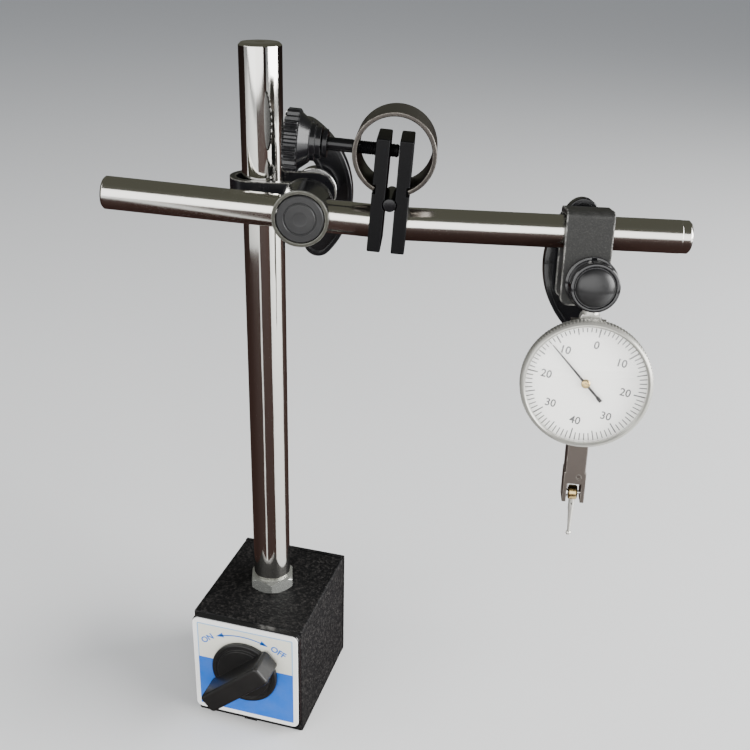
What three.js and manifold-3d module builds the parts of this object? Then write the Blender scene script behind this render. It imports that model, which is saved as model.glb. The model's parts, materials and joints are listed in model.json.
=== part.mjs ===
// Dial indicator on an adjustable stand with a switchable magnetic base.
// Millimetres, +Z up. The origin is the middle of the base's underside, on the post's axis.
// The knob side of the base faces -Y.

import * as THREE from 'three';
import { mergeVertices } from 'three/addons/utils/BufferGeometryUtils.js';
import Module from 'manifold-3d';

const wasm = await Module();
wasm.setup();

// Clearances and shared helpers' sizes
const gap = 0.3;
const cutOverrun = 2;
const chamferSize = 1;
const headTaperShare = 0.7;
const toothTopShare = 0.7;

// Magnetic base
const baseWidth = 50;
const baseDepth = 60;
const baseHeight = 55;
const spacerWidth = 6;
const rearCoverThickness = 2;
const frontCoverThickness = 3;
const frontCoverInset = 0.4;
const frontCoverBottom = 5;
const labelThickness = 0.6;
const labelInset = 0.4;
const labelCornerRadius = 3;
const boreTopWall = 2.4;
const rotorRadius = 14;
const rotorFrontSetback = 3;
const rotorRearSetback = 3;
const rotorEndThickness = 3;
const magnetThickness = 8;
const magnetWidth = 23;
const switchShaftRadius = 4;
const rotorStubRadius = 3;
const rotorStubShortfall = 0.5;
const bushWall = 2;
const rearScrewInset = 6;
const rearScrewHeadRadius = 2.8;
const rearScrewHeadHeight = 1.4;
const rearScrewShankRadius = 1.3;
const rearScrewShankLength = 9;

// Switch knob: a disc with a tall bar to turn it by
const knobDiscRadius = 15;
const knobDiscThickness = 2.4;
const knobBarLength = 35;
const knobBarWidth = 9;
const knobBarHeight = 11;
const knobBarTopInset = 1.2;
const knobBarAngle = 41;
const knobBarCornerRadius = 1.8;
const knobWall = 3;

// Post and its hexagon nut
const postRadius = 8;
const postTop = 290;
const studRadius = 4.8;
const studDepth = 7;
const nutHeight = 6;
const nutAcrossFlats = 18;
const nutChamfer = 1.4;

// Where the head stands on the post
const headSwing = 12.41;
const clampHeight = 233.46;
const barrelReach = 18.04;
const armPlane = 22.24;

// Post clip, a bent strap with two ears
const clipThickness = 2.4;
const clipHeight = 16;
const clipBendSetback = 2;
const clipEarOverrun = 0.9;

// Cross clamp that holds the inner arm
const sleeveRadius = 10.3;
const sleeveWall = 1.4;
const sleeveFrontMargin = 2.4;
const clampPinStep = 0.5;
const clampPinRecess = 0.5;
const clampPinLip = 1.6;
const clampPinBoss = 5.2;
const clampTailRadius = 4;
const clampWasherRadius = 9;
const clampWasherThickness = 1.8;

// Wing levers, one for each clamp
const leverArcRadius = 28.5;
const leverHalfWidth = 5.75;
const leverHalfAngle = 50;
const leverHubOffset = 19.5;
const leverHubRadius = 8;
const leverThickness = 8.6;
const leverBladeThickness = 6.4;
const leverRim = 1.7;
const leverPocketDepth = 1.3;
const leverNutWall = 2;
const upperLeverTilt = -6;
const lowerLeverTilt = 171;

// Arms
const armRadius = 6;
const innerArmTilt = 3.93;
const innerArmLeftReach = 72.93;
const outerArmReach = 103.9;
const outerArmSet = 3.49;

// Fine adjustment: two legs, a pin between them and a ring spring over them
const legStart = 24.57;
const legThickness = 4.8;
const legGap = 3.6;
const legDepth = 20;
const legBottom = 8.6;
const legTop = 31.4;
const legFloor = 0.8;
const outerLegSet = 0.7;
const armMeetingShare = 0.4;
const hingePinRadius = 2.4;
const hingePinHeight = 8.7;
const hingePinShortfall = 0.3;
const hingePinChamfer = 0.4;
const ringRadius = 14.6;
const ringThickness = 1.6;
const ringDepth = 19.4;
const ringHeight = 26.3;
const ringNotchDepth = 1.3;
const ringNotchMargin = 0.5;

// Adjusting screw and its ribbed knob
const screwRadius = 2.35;
const screwHeight = 26;
const screwChamfer = 0.5;
const adjustKnobStart = -7.73;
const adjustRibLength = 5.2;
const adjustConeLength = 3.8;
const adjustNeckLength = 3.85;
const adjustCollarLength = 1.85;
const adjustKnobRadius = 11;
const adjustRibDepth = 0.9;
const adjustConeEndRadius = 6.6;
const adjustCollarRadius = 5;
const adjustKnobFloor = 2;

// Bracket on the outer arm, and the holder that hangs in it
const bracketReach = 69.6;
const bracketRoll = 7.75;
const bracketSheet = 2.2;
const bracketWidth = 16.9;
const bracketLead = 2.3;
const bracketCornerRadius = 3;
const holderDrop = 16.7;
const holderSleeveRadius = 8.5;
const holderFlangeRadius = 9.5;
const holderFlangeThickness = 1;
const holderSleeveLength = 6.4;
const holderPinRadius = 6;
const holderTailRadius = 3;
const holderHeadRadius = 8.65;
const holderHeadThickness = 1.1;
const holderDomeRadius = 6.8;
const holderDomeBulge = 2.4;
const holderWasherThickness = 1.5;
const holderWasherRadius = 8;

// Indicator: stem and case
const indicatorYaw = 4.06;
const stemRadius = 3;
const stemTop = 7.5;
const stemBlockTop = 9.9;
const stemBlockHeight = 2.8;
const stemBlockWidth = 7.4;
const stemBlockTopWidth = 6.2;
const stemBlockDepth = 5.6;
const caseDepth = 9;
const caseWidth = 12.5;
const caseWall = 1.2;
const caseNarrowWidth = 7.4;
const caseTaperTop = 50;
const caseTaperBottom = 54;
const caseTopWall = 3.2;
const caseShoulder = 4;
const caseBottom = 69.9;
const forkWidth = 8.1;
const forkBottom = 80.5;
const forkEar = 1.1;
const backCoverThickness = 0.9;
const coverScrewRadius = 0.9;
const coverScrewHeadHeight = 0.4;
const coverScrewShankRadius = 0.45;
const coverScrewShankLength = 2.4;
const forkHoleRadius = 0.9;
const forkHoleOffset = 1.3;
const forkHoleRise = 1.6;

// Indicator: dial
const dialDrop = 33.5;
const bezelRadius = 23.1;
const bezelOpeningRadius = 20.6;
const bezelWall = 1.2;
const bezelDepth = 6.7;
const bezelLip = 2.1;
const bezelChamfer = 0.7;
const housingFloor = 1;
const housingRim = 0.9;
const housingWall = 1;
const dialFaceThickness = 0.6;
const crystalThickness = 1;
const needleThickness = 0.3;
const needleReach = 18.2;
const needleTail = 8.4;
const needleTailShare = 0.72;
const needleRootWidth = 0.9;
const needleTipWidth = 0.35;
const needleTailWidth = 1.3;
const needleHubRadius = 1.6;
const needleHubThickness = 1.1;
const needleAngle = 43.5;

// Indicator: movement
const arborRadius = 0.6;
const arborCut = 0.3;
const pinionRadius = 1.3;
const pinionLength = 1.6;
const toothDepth = 0.35;
const crownRadius = 3.5;
const crownThickness = 0.7;
const crownSetback = 0.7;
const smallPinionRadius = 0.9;
const jewelRadius = 1.3;
const jewelThickness = 0.6;
const leverPlate = 0.6;
const innerLeverWidth = 1.6;
const sectorHalfWidth = 2.3;
const sectorHeight = 3;
const sectorRimHeight = 1;
const leverEyeRadius = 2.2;

// Stylus
const pivotDrop = 78.1;
const pivotPinRadius = 0.8;
const knuckleRadius = 2.7;
const knuckleWidth = 3.4;
const stylusReach = 16.5;
const stylusSeat = 1.5;
const stylusTopRadius = 1.05;
const stylusTipRadius = 0.5;
const stylusBallRadius = 1;

// Numbers of sides and teeth
const fineSides = 36;
const rodSides = 20;
const smallSides = 12;
const hexagonSides = 6;
const leverSegments = 5;
const ringSegments = 18;
const ribCount = 26;
const crownTeeth = 18;
const pinionTeeth = 9;

// Turns a closed geometry into a solid that can be joined and cut.
function toSolid(geometry) {
  const bare = new THREE.BufferGeometry();
  bare.setAttribute('position', geometry.getAttribute('position').clone());
  if (geometry.index) bare.setIndex(geometry.index.clone());
  const welded = mergeVertices(bare);
  const corners = welded.index.array;
  const kept = [];
  for (let i = 0; i < corners.length; i += 3) {
    const [a, b, c] = [corners[i], corners[i + 1], corners[i + 2]];
    if (a !== b && b !== c && c !== a) kept.push(a, b, c);
  }
  const place = welded.getAttribute('position');
  const at = (i) => new THREE.Vector3().fromBufferAttribute(place, i);
  let volume = 0;
  for (let i = 0; i < kept.length; i += 3) {
    volume += at(kept[i]).dot(at(kept[i + 1]).cross(at(kept[i + 2])));
  }
  const triVerts = Uint32Array.from(volume < 0 ? kept.reverse() : kept);
  const vertProperties = Float32Array.from(place.array);
  return new wasm.Manifold(new wasm.Mesh({ numProp: 3, vertProperties, triVerts }));
}

// Turns a solid back into a geometry.
function toGeometry(solid) {
  const mesh = solid.getMesh();
  const geometry = new THREE.BufferGeometry();
  geometry.setAttribute('position', new THREE.BufferAttribute(mesh.vertProperties, 3));
  geometry.setIndex(new THREE.BufferAttribute(mesh.triVerts, 1));
  geometry.computeVertexNormals();
  return geometry;
}

// A box between two corners.
function block(low, high) {
  const size = high.map((value, i) => value - low[i]);
  const geometry = new THREE.BoxGeometry(...size);
  geometry.translate(...high.map((value, i) => (value + low[i]) / 2));
  return toSolid(geometry);
}

// Lays a geometry that was made along +Y along another axis.
function alongAxis(geometry, axis) {
  if (axis === 'z') geometry.rotateX(Math.PI / 2);
  if (axis === 'x') geometry.rotateZ(-Math.PI / 2);
  return geometry;
}

// A turned solid. The profile lists [radius, place along the axis].
function turned(profile, axis, sides = rodSides) {
  const points = profile.map(([radius, along]) => new THREE.Vector2(radius, along));
  return toSolid(alongAxis(new THREE.LatheGeometry(points, sides), axis));
}

// A plain round rod along an axis, from one place to another.
function rod(radius, from, to, axis, sides = rodSides) {
  return turned([[0, from], [radius, from], [radius, to], [0, to]], axis, sides);
}

// A tube along an axis.
function tube(outer, inner, from, to, axis, sides = rodSides) {
  return turned([[inner, from], [outer, from], [outer, to], [inner, to], [inner, from]], axis, sides);
}

// A rod with both ends chamfered.
function chamferedRod(radius, from, to, chamfer, axis, sides = rodSides) {
  const profile = [
    [0, from], [radius - chamfer, from], [radius, from + chamfer],
    [radius, to - chamfer], [radius - chamfer, to], [0, to],
  ];
  return turned(profile, axis, sides);
}

// A flat shape drawn in X and Z, made solid from one Y to another.
function slab(shape, from, to, curveSegments = smallSides) {
  const options = { depth: to - from, bevelEnabled: false, curveSegments };
  const geometry = new THREE.ExtrudeGeometry(shape, options);
  geometry.rotateX(Math.PI / 2);
  geometry.translate(0, to, 0);
  return toSolid(geometry);
}

// A flat shape from corner points.
function outline(points) {
  return new THREE.Shape(points.map(([x, y]) => new THREE.Vector2(x, y)));
}

// A rectangle with round corners, centred on a point.
function roundedRectangle(width, height, radius, centreX = 0, centreY = 0) {
  const [x, y] = [width / 2 - radius, height / 2 - radius];
  const shape = new THREE.Shape();
  shape.absarc(centreX + x, centreY + y, radius, 0, Math.PI / 2);
  shape.absarc(centreX - x, centreY + y, radius, Math.PI / 2, Math.PI);
  shape.absarc(centreX - x, centreY - y, radius, Math.PI, 1.5 * Math.PI);
  shape.absarc(centreX + x, centreY - y, radius, 1.5 * Math.PI, 2 * Math.PI);
  shape.closePath();
  return shape;
}

// A toothed wheel's outline.
function toothedOutline(radius, depth, teeth) {
  const points = [];
  const share = Math.PI / teeth;
  for (let tooth = 0; tooth < teeth; tooth += 1) {
    const start = 2 * share * tooth;
    const root = radius - depth;
    const steps = [[0, radius], [toothTopShare, radius], [1, root], [1 + toothTopShare, root]];
    steps.forEach(([step, reach]) => {
      const angle = start + step * share;
      points.push([reach * Math.cos(angle), reach * Math.sin(angle)]);
    });
  }
  return outline(points);
}

const degrees = (angle) => (angle * Math.PI) / 180;

function finish(color, roughness, metalness) {
  return new THREE.MeshStandardMaterial({ color, roughness, metalness });
}

const chrome = () => finish(0xd9dbde, 0.12, 1);
const blackCrinkle = () => finish(0x1b1b1d, 0.75, 0.1);
const blackGloss = () => finish(0x0b0b0d, 0.2, 0);
const blackPlastic = () => finish(0x101012, 0.35, 0);
const blackOxide = () => finish(0x18181a, 0.5, 0.7);
const greySteel = () => finish(0x55554f, 0.4, 0.8);
const bluedSpring = () => finish(0x3a3028, 0.3, 0.9);
const satinNickel = () => finish(0x9a958c, 0.35, 0.9);
const brass = () => finish(0xc9a24a, 0.3, 1);
const brightSteel = () => finish(0xc8cacc, 0.25, 1);

// Adds one named piece to a group.
function piece(group, name, solid, material) {
  const mesh = new THREE.Mesh(toGeometry(solid), material);
  mesh.name = name;
  group.add(mesh);
  return mesh;
}

// A nested group, placed and turned inside its parent.
function frameIn(parent, position, rotation = [0, 0, 0]) {
  const group = new THREE.Group();
  group.position.set(...position);
  group.rotation.set(...rotation);
  parent.add(group);
  return group;
}

const part = new THREE.Group();

// Base: two steel poles with a brass strip between them above and below the rotor's bore
const bodyFront = -baseDepth / 2;
const bodyRear = baseDepth / 2 - rearCoverThickness;
const frontCoverFront = bodyFront - frontCoverThickness;
const labelFront = frontCoverFront - labelThickness;
const studBottom = baseHeight - studDepth;
const boreRadius = rotorRadius + gap;
const switchHeight = studBottom - gap - boreTopWall - boreRadius;
const rearScrewX = baseWidth / 2 - rearScrewInset;
const rearScrewLow = rearScrewInset;
const rearScrewHigh = baseHeight - rearScrewInset;
const rearScrewPlaces = [
  [-rearScrewX, rearScrewLow], [rearScrewX, rearScrewLow],
  [-rearScrewX, rearScrewHigh], [rearScrewX, rearScrewHigh],
];

function baseCuts() {
  const bore = rod(boreRadius, bodyFront - cutOverrun, bodyRear + cutOverrun, 'y', fineSides)
    .translate([0, 0, switchHeight]);
  const stud = rod(studRadius + gap, studBottom - gap, baseHeight + cutOverrun, 'z');
  return bore.add(stud);
}

function rearScrewHoles() {
  return rearScrewPlaces.map(([x, z]) => {
    const deep = baseDepth / 2 - rearScrewShankLength - gap;
    const hole = rod(rearScrewShankRadius + gap, deep, baseDepth / 2 + cutOverrun, 'y', smallSides);
    return hole.translate([x, 0, z]);
  }).reduce((all, hole) => all.add(hole));
}

function pole(side) {
  const inner = spacerWidth / 2;
  const outer = baseWidth / 2;
  const low = [side < 0 ? -outer : inner, bodyFront, 0];
  const high = [side < 0 ? -inner : outer, bodyRear, baseHeight];
  return block(low, high).subtract(baseCuts()).subtract(rearScrewHoles());
}

function spacer(from, to) {
  const half = spacerWidth / 2;
  return block([-half, bodyFront, from], [half, bodyRear, to]).subtract(baseCuts());
}

function buildBase(group) {
  piece(group, 'pole_left', pole(-1), blackCrinkle());
  piece(group, 'pole_right', pole(1), blackCrinkle());
  piece(group, 'spacer_top', spacer(switchHeight, baseHeight), brass());
  piece(group, 'spacer_bottom', spacer(0, switchHeight), brass());

  const coverWidth = baseWidth - 2 * frontCoverInset;
  const coverHeight = baseHeight - frontCoverBottom - frontCoverInset;
  const coverMiddle = frontCoverBottom + coverHeight / 2;
  const coverShape = roundedRectangle(coverWidth, coverHeight, labelCornerRadius, 0, coverMiddle);
  const bushRadius = switchShaftRadius + gap + bushWall;
  const bushHole = rod(bushRadius + gap, frontCoverFront - cutOverrun, bodyFront + cutOverrun, 'y')
    .translate([0, 0, switchHeight]);
  const cover = slab(coverShape, frontCoverFront, bodyFront, smallSides / 2).subtract(bushHole);
  piece(group, 'front_cover', cover, blackGloss());

  const labelWidth = coverWidth - 2 * labelInset;
  const labelHeight = coverHeight - 2 * labelInset;
  const labelCorner = labelCornerRadius - labelInset;
  const labelShape = roundedRectangle(labelWidth, labelHeight, labelCorner, 0, coverMiddle);
  const labelHole = rod(bushRadius + gap, labelFront - cutOverrun, frontCoverFront + cutOverrun, 'y')
    .translate([0, 0, switchHeight]);
  const label = slab(labelShape, labelFront, frontCoverFront, smallSides / 2).subtract(labelHole);
  piece(group, 'label_plate', label, finish(0xe9ead9, 0.4, 0));

  const bush = tube(bushRadius, switchShaftRadius + gap, frontCoverFront, bodyFront, 'y')
    .translate([0, 0, switchHeight]);
  piece(group, 'rotor_bush', bush, brass());

  const half = baseWidth / 2;
  const stubHole = rod(rotorStubRadius + gap, bodyRear - cutOverrun, baseDepth / 2 + cutOverrun, 'y')
    .translate([0, 0, switchHeight]);
  const rearCover = block([-half, bodyRear, 0], [half, baseDepth / 2, baseHeight])
    .subtract(stubHole).subtract(rearScrewHoles());
  piece(group, 'rear_cover', rearCover, blackCrinkle());

  const rear = baseDepth / 2;
  const headTop = rear + rearScrewHeadHeight;
  const rearScrew = turned([
    [0, rear - rearScrewShankLength], [rearScrewShankRadius, rear - rearScrewShankLength],
    [rearScrewShankRadius, rear], [rearScrewHeadRadius, rear],
    [rearScrewHeadRadius, rear + rearScrewHeadHeight / 2],
    [rearScrewHeadRadius * headTaperShare, headTop], [0, headTop],
  ], 'y', smallSides);
  rearScrewPlaces.forEach(([x, z], i) => {
    piece(frameIn(group, [x, 0, z]), `rear_screw_${i + 1}`, rearScrew, brightSteel());
  });
}

// Switch: a magnet between two steel shoes, end discs, a shaft and the knob
function buildSwitch(parent) {
  const group = frameIn(parent, [0, 0, switchHeight]);
  const front = bodyFront + rotorFrontSetback;
  const rear = bodyRear - rotorRearSetback;
  const coreFront = front + rotorEndThickness;
  const coreRear = rear - rotorEndThickness;
  const slotHalf = magnetThickness / 2 + gap;
  const round = rod(rotorRadius, coreFront, coreRear, 'y', fineSides);
  const reach = rotorRadius + cutOverrun;
  const [cutFront, cutRear] = [coreFront - cutOverrun, coreRear + cutOverrun];
  const leftHalf = block([-reach, cutFront, -reach], [-slotHalf, cutRear, reach]);
  const rightHalf = block([slotHalf, cutFront, -reach], [reach, cutRear, reach]);
  piece(group, 'rotor_shoe_left', round.intersect(leftHalf), brightSteel());
  piece(group, 'rotor_shoe_right', round.intersect(rightHalf), brightSteel());
  const magnet = block(
    [-magnetThickness / 2, coreFront, -magnetWidth / 2], [magnetThickness / 2, coreRear, magnetWidth / 2],
  );
  piece(group, 'rotor_magnet', magnet, finish(0x3a3a3c, 0.6, 0.3));

  const knobBack = labelFront - gap;
  const knobFace = knobBack - knobDiscThickness;
  const shaftTip = knobFace - knobBarHeight + knobWall;
  const frontEnd = turned([
    [0, shaftTip], [switchShaftRadius, shaftTip], [switchShaftRadius, front],
    [rotorRadius - gap, front], [rotorRadius - gap, coreFront], [0, coreFront],
  ], 'y');
  piece(group, 'rotor_shaft', frontEnd, brightSteel());
  const stubTip = baseDepth / 2 - rotorStubShortfall;
  const rearEnd = turned([
    [0, coreRear], [rotorRadius - gap, coreRear], [rotorRadius - gap, rear],
    [rotorStubRadius, rear], [rotorStubRadius, stubTip], [0, stubTip],
  ], 'y');
  piece(group, 'rotor_rear_disc', rearEnd, brightSteel());

  const barLow = roundedRectangle(knobBarLength, knobBarWidth, knobBarCornerRadius);
  const barTop = roundedRectangle(
    knobBarLength - 2 * knobBarTopInset, knobBarWidth - 2 * knobBarTopInset, knobBarCornerRadius,
  );
  const barStep = knobFace - knobBarHeight + knobBarTopInset;
  const bar = slab(barLow, barStep, knobFace + knobDiscThickness / 2, smallSides / 4)
    .add(slab(barTop, barStep - knobBarTopInset, barStep + knobBarTopInset / 2, smallSides / 4))
    .rotate([0, -knobBarAngle, 0]);
  const disc = rod(knobDiscRadius, knobFace, knobBack, 'y', fineSides);
  const shaftBore = rod(switchShaftRadius + gap, shaftTip - gap, knobBack + cutOverrun, 'y');
  piece(group, 'switch_knob', disc.add(bar).subtract(shaftBore), blackPlastic());
}

// Post, with the stud that screws into the base, and the nut that locks it
function buildPost(group) {
  const foot = baseHeight + nutHeight;
  const post = turned([
    [0, studBottom], [studRadius, studBottom], [studRadius, foot],
    [postRadius - chamferSize, foot], [postRadius, foot + chamferSize],
    [postRadius, postTop - chamferSize], [postRadius - chamferSize, postTop], [0, postTop],
  ], 'z', fineSides);
  piece(group, 'post', post, chrome());

  const cornerRadius = nutAcrossFlats / 2 / Math.cos(Math.PI / hexagonSides);
  const hexagon = rod(cornerRadius, baseHeight, foot, 'z', hexagonSides);
  const crown = turned([
    [0, baseHeight], [cornerRadius, baseHeight], [cornerRadius, foot - nutChamfer],
    [cornerRadius - nutChamfer, foot], [0, foot],
  ], 'z', fineSides);
  const nutBore = rod(studRadius + gap, baseHeight - cutOverrun, foot + cutOverrun, 'z');
  piece(group, 'foot_nut', hexagon.intersect(crown).subtract(nutBore), chrome());
}

// Wing lever: an arched blade with a raised rim and a hub, and the steel nut moulded into it
function leverOutline(halfWidth) {
  const shape = new THREE.Shape();
  const half = degrees(leverHalfAngle);
  const [outer, inner] = [leverArcRadius + halfWidth, leverArcRadius - halfWidth];
  const [endX, endY] = [leverArcRadius * Math.cos(half), leverArcRadius * Math.sin(half)];
  shape.absarc(-leverHubOffset, 0, outer, -half, half);
  shape.absarc(endX - leverHubOffset, endY, halfWidth, half, half + Math.PI);
  shape.absarc(-leverHubOffset, 0, inner, half, -half, true);
  shape.absarc(endX - leverHubOffset, -endY, halfWidth, Math.PI - half, 2 * Math.PI - half);
  shape.closePath();
  return shape;
}

function wingLever(tailRadius, tilt) {
  const nutRadius = tailRadius + gap + leverNutWall;
  const bladeStart = (leverThickness - leverBladeThickness) / 2;
  const bladeEnd = bladeStart + leverBladeThickness;
  const blade = slab(leverOutline(leverHalfWidth), bladeStart, bladeEnd, leverSegments);
  const pocket = leverOutline(leverHalfWidth - leverRim);
  const frontPocket = slab(pocket, bladeStart - cutOverrun, bladeStart + leverPocketDepth, leverSegments);
  const rearPocket = slab(pocket, bladeEnd - leverPocketDepth, bladeEnd + cutOverrun, leverSegments);
  const hub = rod(leverHubRadius, 0, leverThickness, 'y');
  const bore = rod(nutRadius + gap, -cutOverrun, leverThickness + cutOverrun, 'y');
  return blade.subtract(frontPocket).subtract(rearPocket).add(hub).subtract(bore).rotate([0, tilt, 0]);
}

function buildLever(parent, name, place, tailRadius, tilt) {
  const group = frameIn(parent, place);
  piece(group, name, wingLever(tailRadius, tilt), blackPlastic());
  const nut = tube(tailRadius + gap + leverNutWall, tailRadius + gap, 0, leverThickness, 'y');
  piece(group, `${name}_nut`, nut, brightSteel());
}

// Post clip: a strap bent round the post, with a hole for the clamp pin in each ear
function buildPostClip(group) {
  const inner = postRadius + gap;
  const outer = inner + clipThickness;
  const half = clipHeight / 2;
  const reach = barrelReach + clipEarOverrun + half;
  const strap = block([-clipBendSetback, -outer, -half], [reach, outer, half])
    .add(rod(outer, -half, half, 'z', fineSides).translate([-clipBendSetback, 0, 0]));
  const tall = half + cutOverrun;
  const space = block([-clipBendSetback, -inner, -tall], [reach + cutOverrun, inner, tall])
    .add(rod(inner, -tall, tall, 'z', fineSides).translate([-clipBendSetback, 0, 0]));
  const side = outer + cutOverrun;
  const rounding = rod(half, -side, side, 'y').translate([barrelReach + clipEarOverrun, 0, 0]).add(
    block([-clipBendSetback - outer - cutOverrun, -side, -half], [barrelReach + clipEarOverrun, side, half]),
  );
  const pinHole = rod(clampTailRadius + gap, -side, side, 'y').translate([barrelReach, 0, 0]);
  piece(group, 'post_clip', strap.subtract(space).intersect(rounding).subtract(pinHole), blackPlastic());
}

// Cross clamp: a pin pulls the arm against the sleeve, and the sleeve against the clip
function buildCrossClamp(head) {
  const group = frameIn(head, [barrelReach, 0, 0]);
  const earFace = postRadius + gap + clipThickness;
  const back = -earFace - gap;
  const front = -(armPlane + armRadius + sleeveFrontMargin);
  const sleeveBore = sleeveRadius - sleeveWall;
  const armHole = rod(armRadius + gap, -sleeveRadius - cutOverrun, sleeveRadius + cutOverrun, 'x')
    .rotate([0, innerArmTilt, 0]).translate([0, -armPlane, 0]);
  const sleeve = tube(sleeveRadius, sleeveBore, front, back, 'y', fineSides).subtract(armHole);
  piece(group, 'clamp_sleeve', sleeve, greySteel());

  const pinRadius = sleeveBore - gap;
  const pinFront = front - clampPinStep;
  const lipRadius = pinRadius - clampPinLip;
  const tailEnd = earFace + gap + clampWasherThickness + gap + leverThickness;
  const pin = turned([
    [0, pinFront], [clampPinBoss, pinFront], [clampPinBoss + clampPinRecess, pinFront + clampPinRecess],
    [lipRadius, pinFront + clampPinRecess], [lipRadius + clampPinRecess, pinFront],
    [pinRadius - clampPinRecess, pinFront], [pinRadius, pinFront + clampPinRecess], [pinRadius, back],
    [clampTailRadius, back], [clampTailRadius, tailEnd - chamferSize],
    [clampTailRadius - chamferSize, tailEnd], [0, tailEnd],
  ], 'y');
  piece(group, 'clamp_pin', pin.subtract(armHole), blackOxide());

  const washerStart = earFace + gap;
  const washerEnd = washerStart + clampWasherThickness;
  const washer = tube(clampWasherRadius, clampTailRadius + gap, washerStart, washerEnd, 'y');
  piece(group, 'clamp_washer', washer, brightSteel());
  buildLever(group, 'upper_lever', [0, washerEnd + gap, 0], clampTailRadius, upperLeverTilt);
}

// Inner arm and the half of the fine adjustment that it carries
const innerFace = legStart + legThickness;
const outerFace = innerFace + legGap;
const legMiddle = (innerFace + outerFace) / 2;

function armBore(from, to) {
  return rod(armRadius + gap, from, to, 'x');
}

function ringShape() {
  const halfSpan = legGap / 2 + legThickness - ringNotchDepth + gap;
  const end = Math.asin(halfSpan / (ringRadius - ringThickness));
  const [from, to] = [end - Math.PI / 2, 1.5 * Math.PI - end];
  const shape = new THREE.Shape();
  shape.absarc(legMiddle, ringHeight, ringRadius, from, to);
  shape.absarc(legMiddle, ringHeight, ringRadius - ringThickness, to, from, true);
  shape.closePath();
  return shape;
}

// The slot in a leg's outer side that a ring end hooks into, for a side whose face is at x.
function ringNotch(face, side) {
  const span = legGap / 2 + legThickness;
  const low = ringHeight - Math.sqrt(ringRadius ** 2 - (span - ringNotchDepth) ** 2) - ringNotchMargin;
  const high = ringHeight - Math.sqrt((ringRadius - ringThickness) ** 2 - span ** 2) + ringNotchMargin;
  const [inside, outside] = [face - side * ringNotchDepth, face + side * cutOverrun];
  const reach = legDepth / 2 + cutOverrun;
  return block([Math.min(inside, outside), -reach, low], [Math.max(inside, outside), reach, high]);
}

function pinGroove() {
  const reach = legDepth / 2 + cutOverrun;
  return rod(hingePinRadius + gap, -reach, reach, 'y').translate([legMiddle, 0, hingePinHeight]);
}

function buildInnerArm(head) {
  const group = frameIn(head, [barrelReach, -armPlane, 0], [0, degrees(innerArmTilt), 0]);
  const armEnd = innerFace - legFloor - gap;
  piece(group, 'inner_arm', chamferedRod(armRadius, -innerArmLeftReach, armEnd, chamferSize, 'x'), chrome());

  const half = legDepth / 2;
  const screwHole = rod(screwRadius + gap, legStart - cutOverrun, innerFace + cutOverrun, 'x', smallSides)
    .translate([0, 0, screwHeight]);
  const leg = block([legStart, -half, -legBottom], [innerFace, half, legTop])
    .subtract(armBore(legStart - cutOverrun, innerFace - legFloor)).subtract(screwHole)
    .subtract(pinGroove()).subtract(ringNotch(legStart, -1));
  piece(group, 'inner_leg', leg, blackOxide());

  const pinHalf = half - hingePinShortfall;
  const pin = chamferedRod(hingePinRadius, -pinHalf, pinHalf, hingePinChamfer, 'y', smallSides)
    .translate([legMiddle, 0, hingePinHeight]);
  piece(group, 'hinge_pin', pin, blackOxide());

  const passageStart = legMiddle - ringRadius - cutOverrun;
  const screwPassage = rod(screwRadius + gap, passageStart, legMiddle, 'x', smallSides)
    .translate([0, 0, screwHeight]);
  const ring = slab(ringShape(), -ringDepth / 2, ringDepth / 2, ringSegments).subtract(screwPassage);
  piece(group, 'ring_spring', ring, bluedSpring());
  return group;
}

// Adjusting screw with its ribbed knob
function buildAdjuster(innerArm) {
  const group = frameIn(innerArm, [0, 0, screwHeight]);
  const ribEnd = adjustKnobStart + adjustRibLength;
  const coneEnd = ribEnd + adjustConeLength;
  const neckEnd = coneEnd + adjustNeckLength;
  const collarStart = neckEnd + gap;
  const tip = outerFace - gap;
  const shaftStart = adjustKnobStart + adjustKnobFloor;
  const screw = chamferedRod(screwRadius, shaftStart, tip, screwChamfer, 'x', smallSides);
  piece(group, 'adjust_screw', screw, blackOxide());

  const options = { depth: adjustRibLength, bevelEnabled: false };
  const ribShape = toothedOutline(adjustKnobRadius, adjustRibDepth, ribCount);
  const ribs = new THREE.ExtrudeGeometry(ribShape, options);
  ribs.rotateY(Math.PI / 2);
  ribs.translate(adjustKnobStart, 0, 0);
  const coneRadius = adjustKnobRadius - adjustRibDepth;
  const cone = turned([
    [0, ribEnd - gap], [coneRadius, ribEnd - gap], [coneRadius, ribEnd],
    [adjustConeEndRadius, coneEnd], [adjustConeEndRadius, neckEnd], [0, neckEnd],
  ], 'x');
  const bore = rod(screwRadius + gap, shaftStart - gap, neckEnd + cutOverrun, 'x', smallSides);
  piece(group, 'adjust_knob', toSolid(ribs).add(cone).subtract(bore), blackPlastic());

  const collar = tube(
    adjustCollarRadius, screwRadius + gap, collarStart, collarStart + adjustCollarLength, 'x', smallSides,
  );
  piece(group, 'adjust_collar', collar, blackOxide());
}

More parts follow.
